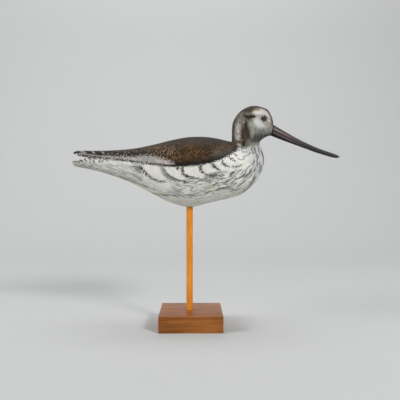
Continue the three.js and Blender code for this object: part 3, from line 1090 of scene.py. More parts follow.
WING_COATS = (
    Coat("wing", (27, 21, 15), (WING,), feather=0.7, ragged=1, second=(42, 30, 20), grain=Grain.SPECKED),
    Coat(
        "wing_warm",
        (52, 27, 12),
        (Stroke(((0, 259), (13, 246)), 16), Stroke(((-30, 250), (-20, 240)), 9)),
        feather=6,
        ragged=4,
        opacity=0.7,
    ),
    Coat(
        "wing_tan",
        (74, 56, 34),
        (
            Stroke(((-16, 243), (-5, 243)), 8),
            Stroke(((46, 262), (56, 256)), 8),
            Stroke(((60, 262), (66, 259)), 5),
            Stroke(((-42, 239), (-24, 235)), 6),
        ),
        feather=4,
        ragged=4,
        opacity=0.5,
    ),
    Coat(
        "wing_hatch",
        (134, 104, 62),
        (Patch(((-60, 258), (-20, 262), (24, 261), (50, 257), (46, 250), (16, 238), (-40, 232), (-62, 240))),),
        feather=6,
        ragged=5,
        opacity=0.75,
        brush=Brush.HATCH,
    ),
    Coat(
        "wing_fine",
        (104, 84, 52),
        (Patch(((-120, 258), (-60, 264), (0, 266), (52, 264), (64, 258), (52, 250), (20, 242), (-40, 238), (-120, 246))),),
        feather=6,
        ragged=6,
        opacity=0.36,
        brush=Brush.DOTS,
    ),
    Coat(
        "wing_grey_dots",
        (176, 166, 150),
        (Patch(((-150, 253), (-100, 255), (-55, 258), (-26, 254), (-24, 240), (-60, 240), (-150, 246))),),
        feather=6,
        ragged=6,
        opacity=0.6,
        brush=Brush.DOTS,
    ),
    Coat(
        "tip_dots",
        (196, 190, 182),
        (Patch(((-118, 251), (-100, 250), (-73, 248.5), (-52, 247), (-36, 243), (-22, 236), (-22, 232), (-36, 236), (-60, 242), (-90, 242), (-118, 244))),),
        feather=1.8,
        ragged=1.4,
        opacity=0.85,
        brush=Brush.DOTS,
    ),
    Coat(
        "wing_band",
        (186, 182, 179),
        (LOWER_WING,),
        feather=1.6,
        ragged=1.6,
        second=(160, 154, 149),
        grain=Grain.SPECKED,
    ),
    Coat("wing_blue", (134, 142, 140), (Stroke(((-70, 241.5), (-56, 240)), 5),), feather=2.8, ragged=2, opacity=0.75),
    Coat(
        "tip_light",
        (150, 144, 140),
        (
            Stroke(((-160, 247.8), (-151.5, 247.2), (-131, 244.5), (-114, 242.8)), (2, 3, 2.8, 3)),
            Stroke(((-159, 252), (-152, 249.5)), 3),
            Stroke(((-143.5, 252), (-139, 249)), 2.6),
            Stroke(((-129, 251), (-125.5, 248.5)), 2),
        ),
        feather=0.9,
        ragged=1.2,
        opacity=0.85,
    ),
    Coat(
        "tip_dark",
        (20, 19, 18),
        (
            Stroke(((-168, 249.3), (-160.5, 251.8)), 2.6),
            Stroke(((-151, 252.5), (-144.5, 250)), 4.4),
            Stroke(((-138, 252.5), (-130.5, 249.5)), 4.4),
            Stroke(((-122, 252), (-110, 250)), 4.4),
            Stroke(((-150, 248.2), (-140, 247), (-128, 246)), (1.4, 1, 1.4)),
        ),
        feather=0.8,
        ragged=1.2,
        opacity=0.95,
    ),
    # A dark painted line along the wings' lower edge, widened with painted shadow under the carved step
    Coat(
        "wing_edge",
        (20, 18, 16),
        (
            Stroke(((-168, 248.5), (-161.5, 245.8), (-154.5, 244.3), (-125.5, 240.8), (-83.5, 236.6), (-44.5, 231.6), (-21, 230.2)), (1.4, 1.8, 2.2, 2, 2.2, 2.4, 3)),
            Stroke(((-21, 230.4), (-8, 232), (13, 233.4), (31.5, 237.4), (44.5, 242), (55, 247), (63.5, 251.4), (68, 253.4)), (3, 4.4, 3.8, 3.8, 3, 2.6, 2.2, 1.6)),
            Stroke(((-20, 233), (-19, 227)), 4),
        ),
        feather=0.9,
        ragged=0.9,
        grain=Grain.SPECKED,
    ),
    Coat(
        "shoulder_dabs",
        (28, 24, 20),
        (Patch(((-20, 240), (14, 241), (36, 246), (56, 254), (64, 254), (56, 246), (30, 236), (-8, 231))),),
        feather=2.4,
        ragged=2.5,
        opacity=0.85,
        brush=Brush.DARK,
    ),
    Coat(
        "shoulder_grey",
        (106, 100, 92),
        (Stroke(((37, 249), (47, 249.5), (56, 253)), (5, 4, 4)),),
        feather=2.4,
        ragged=4,
        opacity=0.5,
        grain=Grain.SPECKED,
    ),
)

COATS = (*GROUND_COATS, *TAIL_COATS, *FLANK_COATS, *HEAD_COATS, *WING_COATS)


@dataclass(frozen=True)
class Plumage:
    """The bird's paint: streaked off-white below, a hatched dark back, and the coats over them.

    Its marks are placed in the side view from the eye's distance, so that those on the bulge of the body
    are a little smaller than they look.
    """

    eye: tuple[float, float, float] = (4.0, 753.9, 194.0)
    light: Colour = (236, 237, 230)
    shade: Colour = (212, 213, 205)
    reach: float = 8.0

    def side_view(self, mesh: bpy.types.Mesh) -> np.ndarray:
        """Where the points of a mesh are seen at the middle plane, in millimetres."""
        places = points_of(mesh) / MM
        nearer = 1 / (1 - np.abs(places[:, 1]) / self.eye[1])
        middle = np.array([self.eye[0], self.eye[2]])
        return middle + (places[:, [0, 2]] - middle) * nearer[:, None]

    def mark(self, mesh: bpy.types.Mesh) -> None:
        """Keeps on each point how far it is inside each coat's marks.

        Args:
            mesh: The bird's finished mesh.
        """
        at = self.side_view(mesh)
        for coat in COATS:
            best = np.full(len(at), -self.reach)
            for mark in coat.marks:
                nodes = np.array(mark.points)
                low = nodes.min(0) - self.reach
                high = nodes.max(0) + self.reach
                near = np.nonzero(np.all((at > low) & (at < high), axis=1))[0]
                best[near] = np.maximum(best[near], mark.inside(at[near]))
            kept = mesh.attributes.new(coat.name, "FLOAT", "POINT")
            kept.data.foreach_set("value", np.clip(best, -self.reach, self.reach))

    def brushes(self, shader: Shader, flow: Socket) -> dict[Brush, Socket | float]:
        """How far each brush covers, from 0 to 1.

        Args:
            shader: The bird's shader.
            flow: Place along and round the form.

        Returns:
            One socket a brush.
        """
        lines = shader.noise(shader.stretched(flow, (0.035, 0, 0.55)), 1, 2, 0.6)
        hairs = shader.noise(shader.stretched(flow, (0.05, 0, 0.36)), 1, 2, 0.55)
        slant = shader.add("Mapping", {"Vector": flow, "Rotation": (0, 0, -0.9)}).outputs["Vector"]
        hatch = shader.noise(shader.stretched(slant, (0.09, 0.34, 0)), 1, 1, 0.5)
        cells = {"Vector": shader.stretched(flow, (0.3, 0.38, 0)), "Scale": 1.0, "Randomness": 0.5}
        spots = shader.add("TexVoronoi", cells).outputs["Distance"]
        dark = shader.noise(shader.stretched(flow, (0.2, 0.3, 0)), 1, 3, 0.7)
        light = shader.noise(shader.stretched(flow, (0.36, 0.5, 0)), 1, 2, 0.6)
        return {
            Brush.FILL: 1.0,
            Brush.LINES: shader.step(lines, 0.5, 0.62),
            Brush.HAIRS: self.ridge(shader, hairs, 0.018, 0.055),
            Brush.HATCH: self.ridge(shader, hatch, 0.006, 0.036),
            Brush.DOTS: shader.step(spots, 0.32, 0.2),
            Brush.DARK: shader.step(dark, 0.48, 0.6),
            Brush.LIGHT: shader.step(light, 0.54, 0.62),
        }

    @staticmethod
    def ridge(shader: Shader, noise: Socket, core: float, edge: float) -> Socket:
        """Thin lines where a noise passes through its middle.

        Args:
            shader: The bird's shader.
            noise: The noise, from 0 to 1.
            core: How far from its middle a line is whole.
            edge: How far from its middle a line ends.

        Returns:
            1 on the lines and 0 between them.
        """
        away = shader.math("ABSOLUTE", shader.math("SUBTRACT", noise, 0.5))
        return shader.step(away, edge, core)

    def material(self) -> bpy.types.Material:
        """The painted surface.

        Returns:
            The material.
        """
        shader = Shader("painted plumage", 0.5, Specular_IOR_Level=0.14)
        flow = shader.flow()
        dabs = shader.noise(shader.stretched(flow, (0.5, 0.5, 0)), 1, 3, 0.65)
        patches = shader.noise(shader.stretched(flow, (0.16, 0.16, 0)), 1, 2)
        strokes = shader.noise(shader.stretched(flow, (0.06, 0, 0.7)), 1, 3, 0.65)
        specks = shader.step(shader.noise(shader.stretched(flow, (0.62, 0.62, 0)), 1, 1), 0.28, 0.72)
        breaks = {Grain.DABBED: dabs, Grain.STREAKED: strokes, Grain.SPECKED: specks}
        brushes = self.brushes(shader, flow)

        colour = shader.mixed(shader.step(strokes, 0.4, 0.66), self.light, self.shade)
        for coat in COATS:
            edge = shader.attribute(coat.name)
            wander = shader.ranged(breaks[coat.grain], -2 * coat.ragged, 2 * coat.ragged)
            share = shader.step(shader.math("ADD", edge, wander), -coat.feather, coat.feather)
            if coat.brush is not Brush.FILL:
                share = shader.math("MULTIPLY", share, brushes[coat.brush])
            if coat.opacity < 1:
                share = shader.math("MULTIPLY", share, coat.opacity)
            over = coat.colour
            if coat.second:
                over = shader.mixed(shader.step(patches, 0.35, 0.65), coat.colour, coat.second)
            colour = shader.mixed(share, colour, over)
        shader.set("Base Color", colour)
        shader.set("Roughness", shader.ranged(patches, 0.42, 0.56))
        shader.bump(strokes, 0.0002)
        return shader.material


@dataclass(frozen=True)
class BillBand:
    """A band of colour along each side of the bill.

    Its edges are shares of the way round from the back to the belly. It fades over the bill's length,
    in millimetres from the seat.
    """

    colour: Colour
    start: float
    end: float
    fade: tuple[float, float]
    feather: float = 0.03


@dataclass(frozen=True)
class BillPaint:
    """The bill's paint: dark mauve bands, painted shade nearly black along its underside, and dark grey at the tip."""

    mauve: Colour = (84, 72, 71)
    streak: Colour = (60, 50, 51)
    seat: Colour = (30, 26, 27)
    tip: Colour = (52, 52, 54)
    tip_x: tuple[float, float] = (146.0, 172.0)
    bands: tuple[BillBand, ...] = (
        BillBand((44, 37, 36), 0.0, 0.16, (50, 90)),
        BillBand((98, 88, 86), 0.18, 0.27, (14, 60)),
        BillBand((48, 38, 40), 0.29, 0.34, (14, 50)),
        BillBand((142, 124, 124), 0.35, 0.45, (12, 36)),
        BillBand((42, 32, 35), 0.48, 0.55, (20, 60)),
        BillBand((102, 88, 93), 0.58, 0.68, (14, 60)),
        # Painted shade: a nearly black band along the underside of the bill
        BillBand((26, 21, 24), 0.74, 1.1, (60, 96)),
    )

    def material(self, form: CarvedForm) -> bpy.types.Material:
        """The painted surface.

        Args:
            form: The bill's form, for its length and girth.

        Returns:
            The material.
        """
        shader = Shader("painted bill", 0.42, Specular_IOR_Level=0.16)
        flow = shader.flow()
        along = shader.add("SeparateXYZ", {"Vector": flow}).outputs["X"]
        streaks = shader.noise(shader.stretched(flow, (0.06, 0.9, 0)), 1, 3, 0.65)
        cross = shader.noise(shader.stretched(flow, (0.5, 0.2, 0)), 1, 2, 0.6)
        share = shader.attribute("round_share")
        share = shader.math("ADD", share, shader.ranged(streaks, -0.07, 0.07))
        colour = shader.mixed(shader.step(streaks, 0.4, 0.62), self.mauve, self.streak)
        for band in self.bands:
            into = shader.step(share, band.start - band.feather, band.start + band.feather)
            out = shader.step(share, band.end + band.feather, band.end - band.feather)
            faded = shader.step(along, band.fade[1], band.fade[0])
            cover = shader.math("MULTIPLY", shader.math("MULTIPLY", into, out), faded)
            colour = shader.mixed(cover, colour, band.colour)
        colour = shader.mixed(shader.math("MULTIPLY", shader.step(cross, 0.5, 0.62), 0.35), colour, self.streak)
        seat = shader.step(along, 2.6, 0.8)
        colour = shader.mixed(shader.math("MULTIPLY", seat, 0.85), colour, self.seat)
        length = float(form.along[-1, 0])
        start_x, end_x = form.grid[0, 0, 0], form.grid[-1, 0, 0]
        start, end = ((x - start_x) / (end_x - start_x) * length for x in self.tip_x)
        colour = shader.mixed(shader.step(along, start, end), colour, self.tip)
        shader.set("Base Color", colour)
        shader.set("Roughness", shader.ranged(streaks, 0.38, 0.52))
        shader.bump(streaks, 0.00015)
        return shader.material


@dataclass(frozen=True)
class GlassFinish:
    """Brown glass with a black pupil behind a clear front."""

    iris: Colour = (52, 31, 16)
    pupil: Colour = (12, 8, 6)
    pupil_share: float = 0.62

    def material(self, side: Side, centre: tuple[float, float, float], radius: float) -> bpy.types.Material:
        """The eye's surface.

        Args:
            side: Which eye.
            centre: Middle of the ball, in millimetres.
            radius: Its radius, in millimetres.

        Returns:
            The material.
        """
        polish = {"Specular_IOR_Level": 0.5, "Coat_Weight": 1.0, "Coat_Roughness": 0.02}
        shader = Shader(f"glass eye {side.name.lower()}", 0.03, **polish)
        place = shader.place()
        moved = shader.add(
            "VectorMath", {0: place, 1: tuple(c * MM for c in centre)}, operation="SUBTRACT"
        ).outputs["Vector"]
        flat = shader.stretched(moved, (1, 0, 1))
        away = shader.add("VectorMath", {0: flat}, operation="LENGTH").outputs["Value"]
        away = shader.math("DIVIDE", away, radius * MM)
        flecks = shader.noise(place, 1500, 2)
        away = shader.math("ADD", away, shader.ranged(flecks, -0.03, 0.03))
        rim = shader.step(away, self.pupil_share, self.pupil_share + 0.12)
        dark_rim = shader.step(away, 0.9, 1.0)
        colour = shader.mixed(rim, self.pupil, self.iris)
        colour = shader.mixed(dark_rim, colour, (20, 14, 10))
        shader.set("Base Color", colour)
        return shader.material


@dataclass(frozen=True)
class WoodFinish:
    """Stained and satin-varnished wood with its grain along one axis."""

    name: str
    pale: Colour
    dark: Colour
    line: Colour
    axis: int  # 0 for X, 2 for Z
    coarse: float  # grain bands across a millimetre
    roughness: float = 0.3

    def material(self) -> bpy.types.Material:
        """The varnished surface.

        Returns:
            The material.
        """
        shader = Shader(self.name, self.roughness, Specular_IOR_Level=0.2)
        place = shader.place()
        across = 1000 * self.coarse
        along = across / 14
        bands = [across] * 3
        bands[self.axis] = along
        grain = shader.noise(shader.stretched(place, tuple(bands)), 1, 3, 0.6)
        fibres = [across * 7] * 3
        fibres[self.axis] = along * 1.5
        fibre = shader.noise(shader.stretched(place, tuple(fibres)), 1, 2, 0.6)
        cloud = shader.noise(place, 24, 2)
        colour = shader.mixed(shader.step(grain, 0.34, 0.66), self.pale, self.dark)
        colour = shader.mixed(shader.math("MULTIPLY", shader.step(fibre, 0.52, 0.72), 0.5), colour, self.line)
        colour = shader.mixed(shader.math("MULTIPLY", shader.step(cloud, 0.5, 0.8), 0.35), colour, self.line)
        shader.set("Base Color", colour)
        shader.set("Roughness", shader.ranged(fibre, self.roughness - 0.04, self.roughness + 0.1))
        shader.bump(fibre, 0.00008)
        return shader.material


# The flat face that the bill is seated on, in side view
SEAT_BACK = (118.3, 289.6)
SEAT_BELLY = (114.3, 274.1)
NOTCH_X = -147.0  # inner end of the notch that parts the wing tips from the tail


@dataclass
class CarvedBird:
    """Body, folded wings, tail, neck and head, carved from one piece of wood."""

    step: float = 1.36
    top_rows: int = 62
    ledge_rows: int = 4
    low_rows: int = 70
    shoulder_x: float = 54.0  # the step under the wings has run out here
    step_fade: float = 20.0
    edge_drop: float = 1.0
    undercut: float = 0.15
    seam_drop: float = 0.3
    front_share: float = 0.76
    notch_run_in: float = 18.0
    tail_top_end: float = 235.8
    tail_end_x: float = -169.5
    tail_crown: float = 1.1
    wing_hollow: float = 0.3
    hollow_run_in: float = 0.12
    wing_line: tuple[Point, ...] = (
        (-168.5, 247.2),
        (-163, 244.8),
        (-156, 243.6),
        (-147, 242.7),
        (-124, 239.9),
        (-92, 236.6),
        (-53.5, 232),
        (-15, 227.6),
        (10, 229.8),
        (33, 237.2),
        (54, 246),
    )
    sections: tuple[Section, ...] = (
        Section((-168.4, 249.6), (-169.8, 233.4), (1.7, 5.5)),
        Section((-167.4, 250.4), (-168.6, 231.6), (2.9, 8.8)),
        Section((-165.2, 251.2), (-166.2, 229.7), (4.4, 11.4)),
        Section((-159.0, 252.0), (-159.5, 228.0), (6.9, 13.6)),
        Section((NOTCH_X, 252.0), (NOTCH_X, 225.6), (10.3, 14.9)),
        Section((-128.0, 252.0), (-128.0, 221.0), (14.8, 16.2)),
        Section((-106.0, 252.9), (-106.0, 213.8), (19.6, 19.0), (2.0, 1.9)),
        Section((-80.0, 255.5), (-80.0, 203.2), (26.2, 25.4)),
        Section((-52.0, 261.1), (-52.0, 188.4), (32.6, 31.8), (2.0, 2.1)),
        Section((-26.0, 267.6), (-26.0, 176.3), (36.8, 36.0), (2.0, 2.1)),
        Section((0.0, 271.9), (0.0, 171.2), (39.0, 38.2), (2.0, 2.1), 0.57),
        Section((24.0, 271.6), (24.0, 176.5), (38.8, 38.1), (2.0, 2.1), 0.54),
        Section((42.0, 268.7), (42.0, 180.8), (37.2, 36.8), (2.0, 2.1), 0.51),
        Section((54.0, 265.8), (54.0, 183.4), (35.6, 35.5), (2.0, 2.1), 0.49),
        Section((57.6, 265.2), (71.4, 189.2), (33.6, 33.6), (2.0, 2.1), 0.48),
        Section((58.3, 265.7), (88.1, 202.0), (30.2, 30.2), (2.0, 2.1), 0.47),
        Section((58.6, 266.3), (98.6, 215.5), (26.4, 26.4), (2.0, 2.1), 0.46),
        Section((58.7, 267.1), (104.2, 230.5), (22.8, 22.8), (2.0, 2.1), 0.46),
        Section((58.8, 268.3), (105.0, 242.0), (20.0, 20.0), (2.0, 2.1), 0.47),
        Section((58.8, 270.4), (102.6, 252.2), (17.8, 17.8), (2.0, 2.0), 0.49),
        Section((58.8, 274.4), (99.4, 259.4), (16.6, 16.6), (2.0, 2.0), 0.5),
        Section((58.9, 281.0), (98.9, 263.8), (16.4, 16.4), (2.1, 2.0), 0.5),
        Section((60.4, 292.9), (101.0, 267.2), (17.4, 17.4), (2.1, 2.0), 0.5),
        Section((66.0, 303.4), (103.4, 269.2), (18.4, 18.4), (2.1, 2.0), 0.5),
        Section((76.5, 312.5), (105.5, 270.6), (18.6, 18.6), (2.1, 2.0), 0.5),
        Section((89.0, 316.6), (107.6, 271.7), (18.0, 18.0), (2.1, 2.0), 0.5),
        Section((101.0, 315.0), (109.6, 272.7), (16.2, 16.2), (2.1, 2.0), 0.5),
        Section((110.3, 310.8), (111.4, 273.3), (13.4, 13.4), (2.1, 2.0), 0.5),
        Section((115.2, 303.0), (112.8, 273.7), (10.2, 10.2), (2.1, 2.0), 0.5),
        Section((117.6, 296.0), (113.7, 273.9), (7.8, 7.8), (2.1, 2.0), 0.5),
        Section(SEAT_BACK, SEAT_BELLY, (6.2, 6.2), (2.0, 2.0), 0.5),
    )
    paint: Plumage = field(default_factory=Plumage)

    def __post_init__(self) -> None:
        """Draws the wings' lower edge."""
        self.wing_edge = Curve([x for x, _ in self.wing_line], [z for _, z in self.wing_line])

    def edge_share(self, section: Section) -> float:
        """How far up a section its wing edge is, as a share of its height."""
        usual = 0.7
        height = self.wing_edge(mix(section.belly[0], section.back[0], usual))
        return float(height - section.belly[1]) / (section.back[1] - section.belly[1])

    def half(self, section: Section) -> np.ndarray:
        """Half of a section, with the step under the wing and the notch behind it.

        Args:
            section: The section.

        Returns:
            Points across and up from the belly, from the back to the belly.
        """
        height = section.height
        x = (section.back[0] + section.belly[0]) / 2
        carved = smooth(clamp01((self.shoulder_x - x) / self.step_fade))
        opened = smooth(clamp01((NOTCH_X + self.notch_run_in - x) / self.notch_run_in))
        parted = clamp01((NOTCH_X - x) / (NOTCH_X - self.tail_end_x))

        edge = height * (self.edge_share(section) if x < self.shoulder_x else self.front_share)
        tail_top = mix(float(self.wing_edge(NOTCH_X)) - self.edge_drop, self.tail_top_end, parted)
        drop = mix(self.seam_drop, self.edge_drop, carved)
        if parted > 0:
            drop = float(self.wing_edge(x)) - tail_top
        girth = min(section.girth * height, edge)
        upper = quarter(section.half[0], girth, height - girth, section.full[0])
        wing, shoulder = split_at(upper, edge)
        side = shoulder * np.array([section.half[1] / section.half[0], 1])
        low_girth = min(girth, edge - drop)
        flank = quarter(section.half[1], low_girth, -low_girth, section.full[1])[::-1]
        if edge - drop > girth:
            flank = np.concatenate([split_at(side, edge - drop)[1], flank[1:]])

        wing_across, flank_across = wing[-1, 0], flank[0, 0]
        bite = min(wing_across, flank_across) - self.undercut

        def inner(share: float) -> float:
            """How far out a row of the step is."""
            return mix(mix(mix(wing_across, flank_across, share), bite, carved), 0, opened)

        hollowed = opened * clamp01(parted / self.hollow_run_in)
        under = [inner(1 / 3), edge + mix(-drop / 3, self.wing_hollow, hollowed)]
        over = [inner(2 / 3), edge - drop + mix(drop / 3, self.tail_crown, hollowed)]
        rows = [
            evenly(wing, self.top_rows),
            evenly(np.array([wing[-1], under]), self.ledge_rows)[1:],
            evenly(np.array([over, flank[0]]), self.ledge_rows),
            evenly(flank, self.low_rows)[1:],
        ]
        return np.concatenate(rows)

    def build(self) -> bpy.types.Object:
        """Carves and paints the bird.

        Returns:
            The bird.
        """
        given = [
            s if s.girth else Section(s.back, s.belly, s.half, s.full, self.edge_share(s)) for s in self.sections
        ]
        sections = lofted(given, self.step)
        notch_end = next(i for i, s in enumerate(sections) if abs(s.back[0] - NOTCH_X) < 1e-6)
        form = CarvedForm(sections, [self.half(s) for s in sections], self.top_rows + self.ledge_rows, notch_end)
        bird = placed(form.mesh("carved_bird"), "carved_bird")
        carve(bird, self.tools())
        bird.data.set_sharp_from_angle(angle=math.radians(45))
        form.flow(bird.data)
        self.paint.mark(bird.data)
        bird.data.materials.clear()
        bird.data.materials.append(self.paint.material())
        return bird

    def tools(self) -> list[bpy.types.Object]:
        """The rod's hole and the eye sockets, as forms to cut away."""
        low, high = (np.array(corner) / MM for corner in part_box("rod"))
        radius = (high[0] - low[0]) / 2 + GAP
        centre = ((low[0] + high[0]) / 2, 0.0)
        hole = turned("hole", [(radius, 120.0), (radius, high[2] + GAP)], 64, centre)
        sockets = []
        for side in Side:
            middle, eye_radius = GlassEye(side).size()
            sockets.append(ball("socket", eye_radius + GAP, middle, 48, 32))
        return [hole, *sockets]


@dataclass
class GlassEye:
    """A glass ball set into the head."""

    side: Side
    finish: GlassFinish = field(default_factory=GlassFinish)

    def node(self) -> str:
        """The name of its node in the frame."""
        return f"eye_{self.side.name.lower()}"

    def size(self) -> tuple[tuple[float, float, float], float]:
        """Its middle and radius, in millimetres, from the frame."""
        low, high = (np.array(corner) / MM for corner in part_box(self.node()))
        middle = (low + high) / 2
        return tuple(float(c) for c in middle), float(high[1] - low[1]) / 2

    def build(self) -> bpy.types.Object:
        """Makes the eye.

        Returns:
            The eye.
        """
        middle, radius = self.size()
        eye = ball(f"glass_{self.node()}", radius, middle, 64, 48)
        eye.data.materials.append(self.finish.material(self.side, middle, radius))
        return eye


@dataclass
class Bill:
    """A long tapered wooden bill, seated on the head."""

    step: float = 1.0
    rows: int = 40
    groove: float = 0.35  # depth of the line between the upper and lower bill
    groove_share: float = 0.52  # how far round each half it runs
    groove_width: float = 0.035
    groove_end: float = 0.7  # share of the bill's length over which it fades
    sections: tuple[Section, ...] = (
        Section(SEAT_BACK, SEAT_BELLY, (5.8, 5.8), (2.2, 2.2), 0.5),
        Section((133.5, 280.8), (129.0, 268.3), (5.0, 5.0), (2.2, 2.2), 0.5),
        Section((149.5, 271.7), (145.8, 262.1), (4.2, 4.2), (2.2, 2.2), 0.5),
        Section((165.5, 263.7), (162.6, 256.1), (3.6, 3.6), (2.1, 2.1), 0.5),
        Section((181.0, 256.8), (178.6, 250.2), (3.1, 3.1), (2.1, 2.1), 0.5),
        Section((196.5, 251.2), (194.6, 245.3), (2.8, 2.8), (2.0, 2.0), 0.5),
        Section((207.5, 247.5), (206.2, 242.2), (2.4, 2.4), (2.0, 2.0), 0.5),
        Section((212.2, 245.4), (211.6, 242.0), (1.6, 1.6), (2.0, 2.0), 0.5),
        Section((214.2, 243.9), (214.1, 242.9), (0.5, 0.5), (2.0, 2.0), 0.5),
    )
    paint: BillPaint = field(default_factory=BillPaint)

    def half(self, section: Section, share: float) -> np.ndarray:
        """Half of a section, with the groove.

        Args:
            section: The section.
            share: How far it is along the bill.

        Returns:
            Points across and up from the belly, from the back to the belly.
        """
        girth = section.girth * section.height
        upper = quarter(section.half[0], girth, section.height - girth, section.full[0])
        lower = quarter(section.half[1], girth, -girth, section.full[1])[::-1]
        points = evenly(np.concatenate([upper, lower[1:]]), self.rows)
        away = (np.linspace(0, 1, self.rows + 1) - self.groove_share) / self.groove_width
        depth = self.groove * smooth(clamp01((self.groove_end - share) / self.groove_end))
        points[:, 0] -= np.minimum(points[:, 0] * 0.3, depth * np.exp(-(away**2)))
        return points

    def build(self) -> bpy.types.Object:
        """Carves and paints the bill.

        Returns:
            The bill.
        """
        sections = lofted(list(self.sections), self.step)
        shares = np.linspace(0, 1, len(sections))
        halves = [self.half(section, share) for section, share in zip(sections, shares)]
        form = CarvedForm(sections, halves, -1, -1)
        form.grid[:, :, 0] += GAP
        bill = placed(form.mesh("carved_bill"), "carved_bill")
        bill.data.set_sharp_from_angle(angle=math.radians(50))
        form.flow(bill.data)
        flow = np.zeros(len(bill.data.vertices) * 3)
        bill.data.attributes[FLOW].data.foreach_get("vector", flow)
        flow = flow.reshape(-1, 3)
        whole = np.interp(flow[:, 0], form.along[:, 0], form.round_it[:, -1])
        kept = bill.data.attributes.new("round_share", "FLOAT", "POINT")
        kept.data.foreach_set("value", np.abs(flow[:, 1]) / np.maximum(whole, 1e-6))
        bill.data.materials.append(self.paint.material(form))
        return bill


@dataclass
class Rod:
    """The round rod between the block and the bird."""

    sides: int = 64
    chamfer: float = 0.5
    finish: WoodFinish = WoodFinish(
        "varnished dowel", (240, 158, 58), (222, 134, 38), (170, 96, 26), axis=2, coarse=0.5
    )

    def build(self) -> bpy.types.Object:
        """Turns the rod.

        Returns:
            The rod.
        """
        low, high = (np.array(corner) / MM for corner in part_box("rod"))
        radius = (high[0] - low[0]) / 2
        heights = np.linspace(low[2] + self.chamfer, high[2] - self.chamfer, 40)
        outline = [
            (radius - self.chamfer, low[2]),
            *((radius, height) for height in heights),
            (radius - self.chamfer, high[2]),
        ]
        rod = turned("dowel", outline, self.sides, ((low[0] + high[0]) / 2, 0.0))
        rod.data.materials.append(self.finish.material())
        return rod


@dataclass
class Block:
    """The square wooden block that everything stands on."""

    easing: float = 0.9
    depth: float = 15.0  # of the rod's hole
    finish: WoodFinish = WoodFinish(
        "varnished block", (168, 104, 48), (130, 76, 32), (88, 54, 28), axis=0, coarse=0.16
    )

    def build(self) -> bpy.types.Object:
        """Saws the block, eases its edges and bores it.

        Returns:
            The block.
        """
        low, high = (np.array(corner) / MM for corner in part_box("block"))
        bm = bmesh.new()
        bmesh.ops.create_cube(bm, size=1)
        spread = Matrix.Diagonal([*((high - low) * MM), 1])
        middle = Matrix.Translation(Vector((low + high) / 2 * MM))
        bmesh.ops.transform(bm, matrix=middle @ spread, verts=bm.verts)
        bmesh.ops.bevel(
            bm, geom=list(bm.edges), offset=self.easing * MM, segments=5, profile=0.5, affect="EDGES"
        )
        mesh = bpy.data.meshes.new("wooden_block")
        bm.to_mesh(mesh)
        bm.free()
        block = placed(mesh, "wooden_block")
        rod_low, rod_high = (np.array(corner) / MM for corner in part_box("rod"))
        radius = (rod_high[0] - rod_low[0]) / 2 + GAP
        centre = ((rod_low[0] + rod_high[0]) / 2, 0.0)
        hole = turned("bore", [(radius, high[2] - self.depth), (radius, high[2] + self.depth)], 64, centre)
        carve(block, [hole])
        block.data.shade_smooth()
        block.data.set_sharp_from_angle(angle=math.radians(30))
        block.data.materials.clear()
        block.data.materials.append(self.finish.material())
        return block


@dataclass
class Softbox:
    """A square studio light."""

    name: str
    place: tuple[float, float, float]  # metres
    target: tuple[float, float, float]
    size: float
    power: float

    def build(self) -> None:
        """Puts up the light."""
        lamp = bpy.data.lights.new(self.name, "AREA")
        lamp.shape = "SQUARE"
        lamp.size = self.size
        lamp.energy = self.power
        holder = bpy.data.objects.new(self.name, lamp)
        bpy.context.scene.collection.objects.link(holder)
        holder.location = self.place
        away = Vector(self.place) - Vector(self.target)
        holder.rotation_euler = away.to_track_quat("Z", "Y").to_euler()


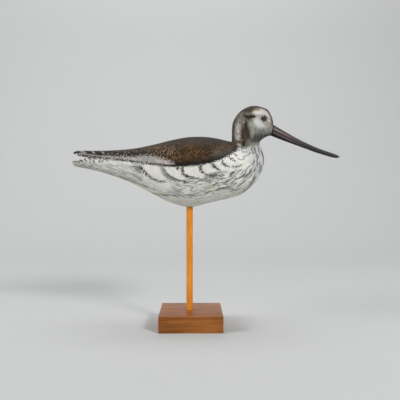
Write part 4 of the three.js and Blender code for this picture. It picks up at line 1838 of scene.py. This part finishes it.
@dataclass
class Studio:
    """The camera, the lights and the pale sweep of paper."""

    eye: tuple[float, float, float] = (0.004, -0.7539, 0.194)
    tilt: float = 0.97  # degrees down
    turn: float = 0.68  # degrees to the right
    lens: float = 47.06
    sensor: float = 36.0
    paper: Colour = (193, 194, 194)
    ambient: float = 0.06
    softboxes: tuple[Softbox, ...] = (
        Softbox("left softbox", (-2.4, -0.9, 1.5), (0, 0, 0.2), 1.2, 46),
        Softbox("right softbox", (1.5, -1.8, 1.55), (0, 0, 0.2), 0.6, 50),
        Softbox("top softbox", (0, 0.4, 2.5), (0, 0.3, 0), 1.8, 4),
        Softbox("wall softbox", (0, 0.5, 2.5), (0, 1.7, 0.5), 1.6, 27),
    )

    def build(self) -> None:
        """Sets up the whole studio."""
        scene = bpy.context.scene
        scene.view_settings.view_transform = "Standard"
        camera = bpy.data.cameras.new("camera")
        camera.lens = self.lens
        camera.sensor_width = self.sensor
        camera.clip_start = 0.01
        holder = bpy.data.objects.new("camera", camera)
        scene.collection.objects.link(holder)
        holder.location = self.eye
        holder.rotation_euler = (math.radians(90 - self.tilt), 0, -math.radians(self.turn))
        scene.camera = holder
        world = bpy.data.worlds.new("studio")
        world.use_nodes = True
        world.node_tree.nodes["Background"].inputs["Strength"].default_value = self.ambient
        world.node_tree.nodes["Background"].inputs["Color"].default_value = (1, 1, 1, 1)
        scene.world = world
        for softbox in self.softboxes:
            softbox.build()
        self.sweep()

    def sweep(self) -> bpy.types.Object:
        """The floor that curves up behind into a wall.

        Returns:
            The sweep.
        """
        half_width, front, back, bend, top = 4.0, -3.0, 0.75, 0.95, 4.0
        profile = [(front, 0.0), (back, 0.0)]
        for n in range(1, 25):
            angle = math.pi / 2 * n / 24
            profile.append((back + bend * math.sin(angle), bend * (1 - math.cos(angle))))
        profile.append((back + bend, top))
        points = [(side * half_width, y, z) for y, z in profile for side in (-1, 1)]
        faces = [(2 * n, 2 * n + 1, 2 * n + 3, 2 * n + 2) for n in range(len(profile) - 1)]
        mesh = bpy.data.meshes.new("paper_sweep")
        mesh.from_pydata(points, [], faces)
        mesh.shade_smooth()
        shader = Shader("studio paper", 0.9, Specular_IOR_Level=0.2)
        fibres = shader.noise(shader.place(), 40, 3)
        shader.set("Base Color", shader.mixed(shader.ranged(fibres, 0, 0.06), self.paper, (190, 190, 192)))
        mesh.materials.append(shader.material)
        return placed(mesh, "paper_sweep")


def main() -> None:
    """Builds the figurine round the frame, and the studio."""
    logging.basicConfig(level=logging.INFO, format="%(message)s")
    pieces = (
        ("block", "block_wood", Block()),
        ("rod", "rod_wood", Rod()),
        ("bird", "painted_plumage", CarvedBird()),
        ("bill", "painted_bill", Bill()),
        ("eye_left", "glass_eye", GlassEye(Side.LEFT)),
        ("eye_right", "glass_eye", GlassEye(Side.RIGHT)),
    )
    for node, slot, maker in pieces:
        piece = maker.build()
        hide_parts(node)
        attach(piece, "root")
        faces = sum(len(polygon.vertices) - 2 for polygon in piece.data.polygons)
        LOG.info("%s: %d triangles in place of %s", piece.name, faces, node)
    Studio().build()


if __name__ == "__main__":
    main()
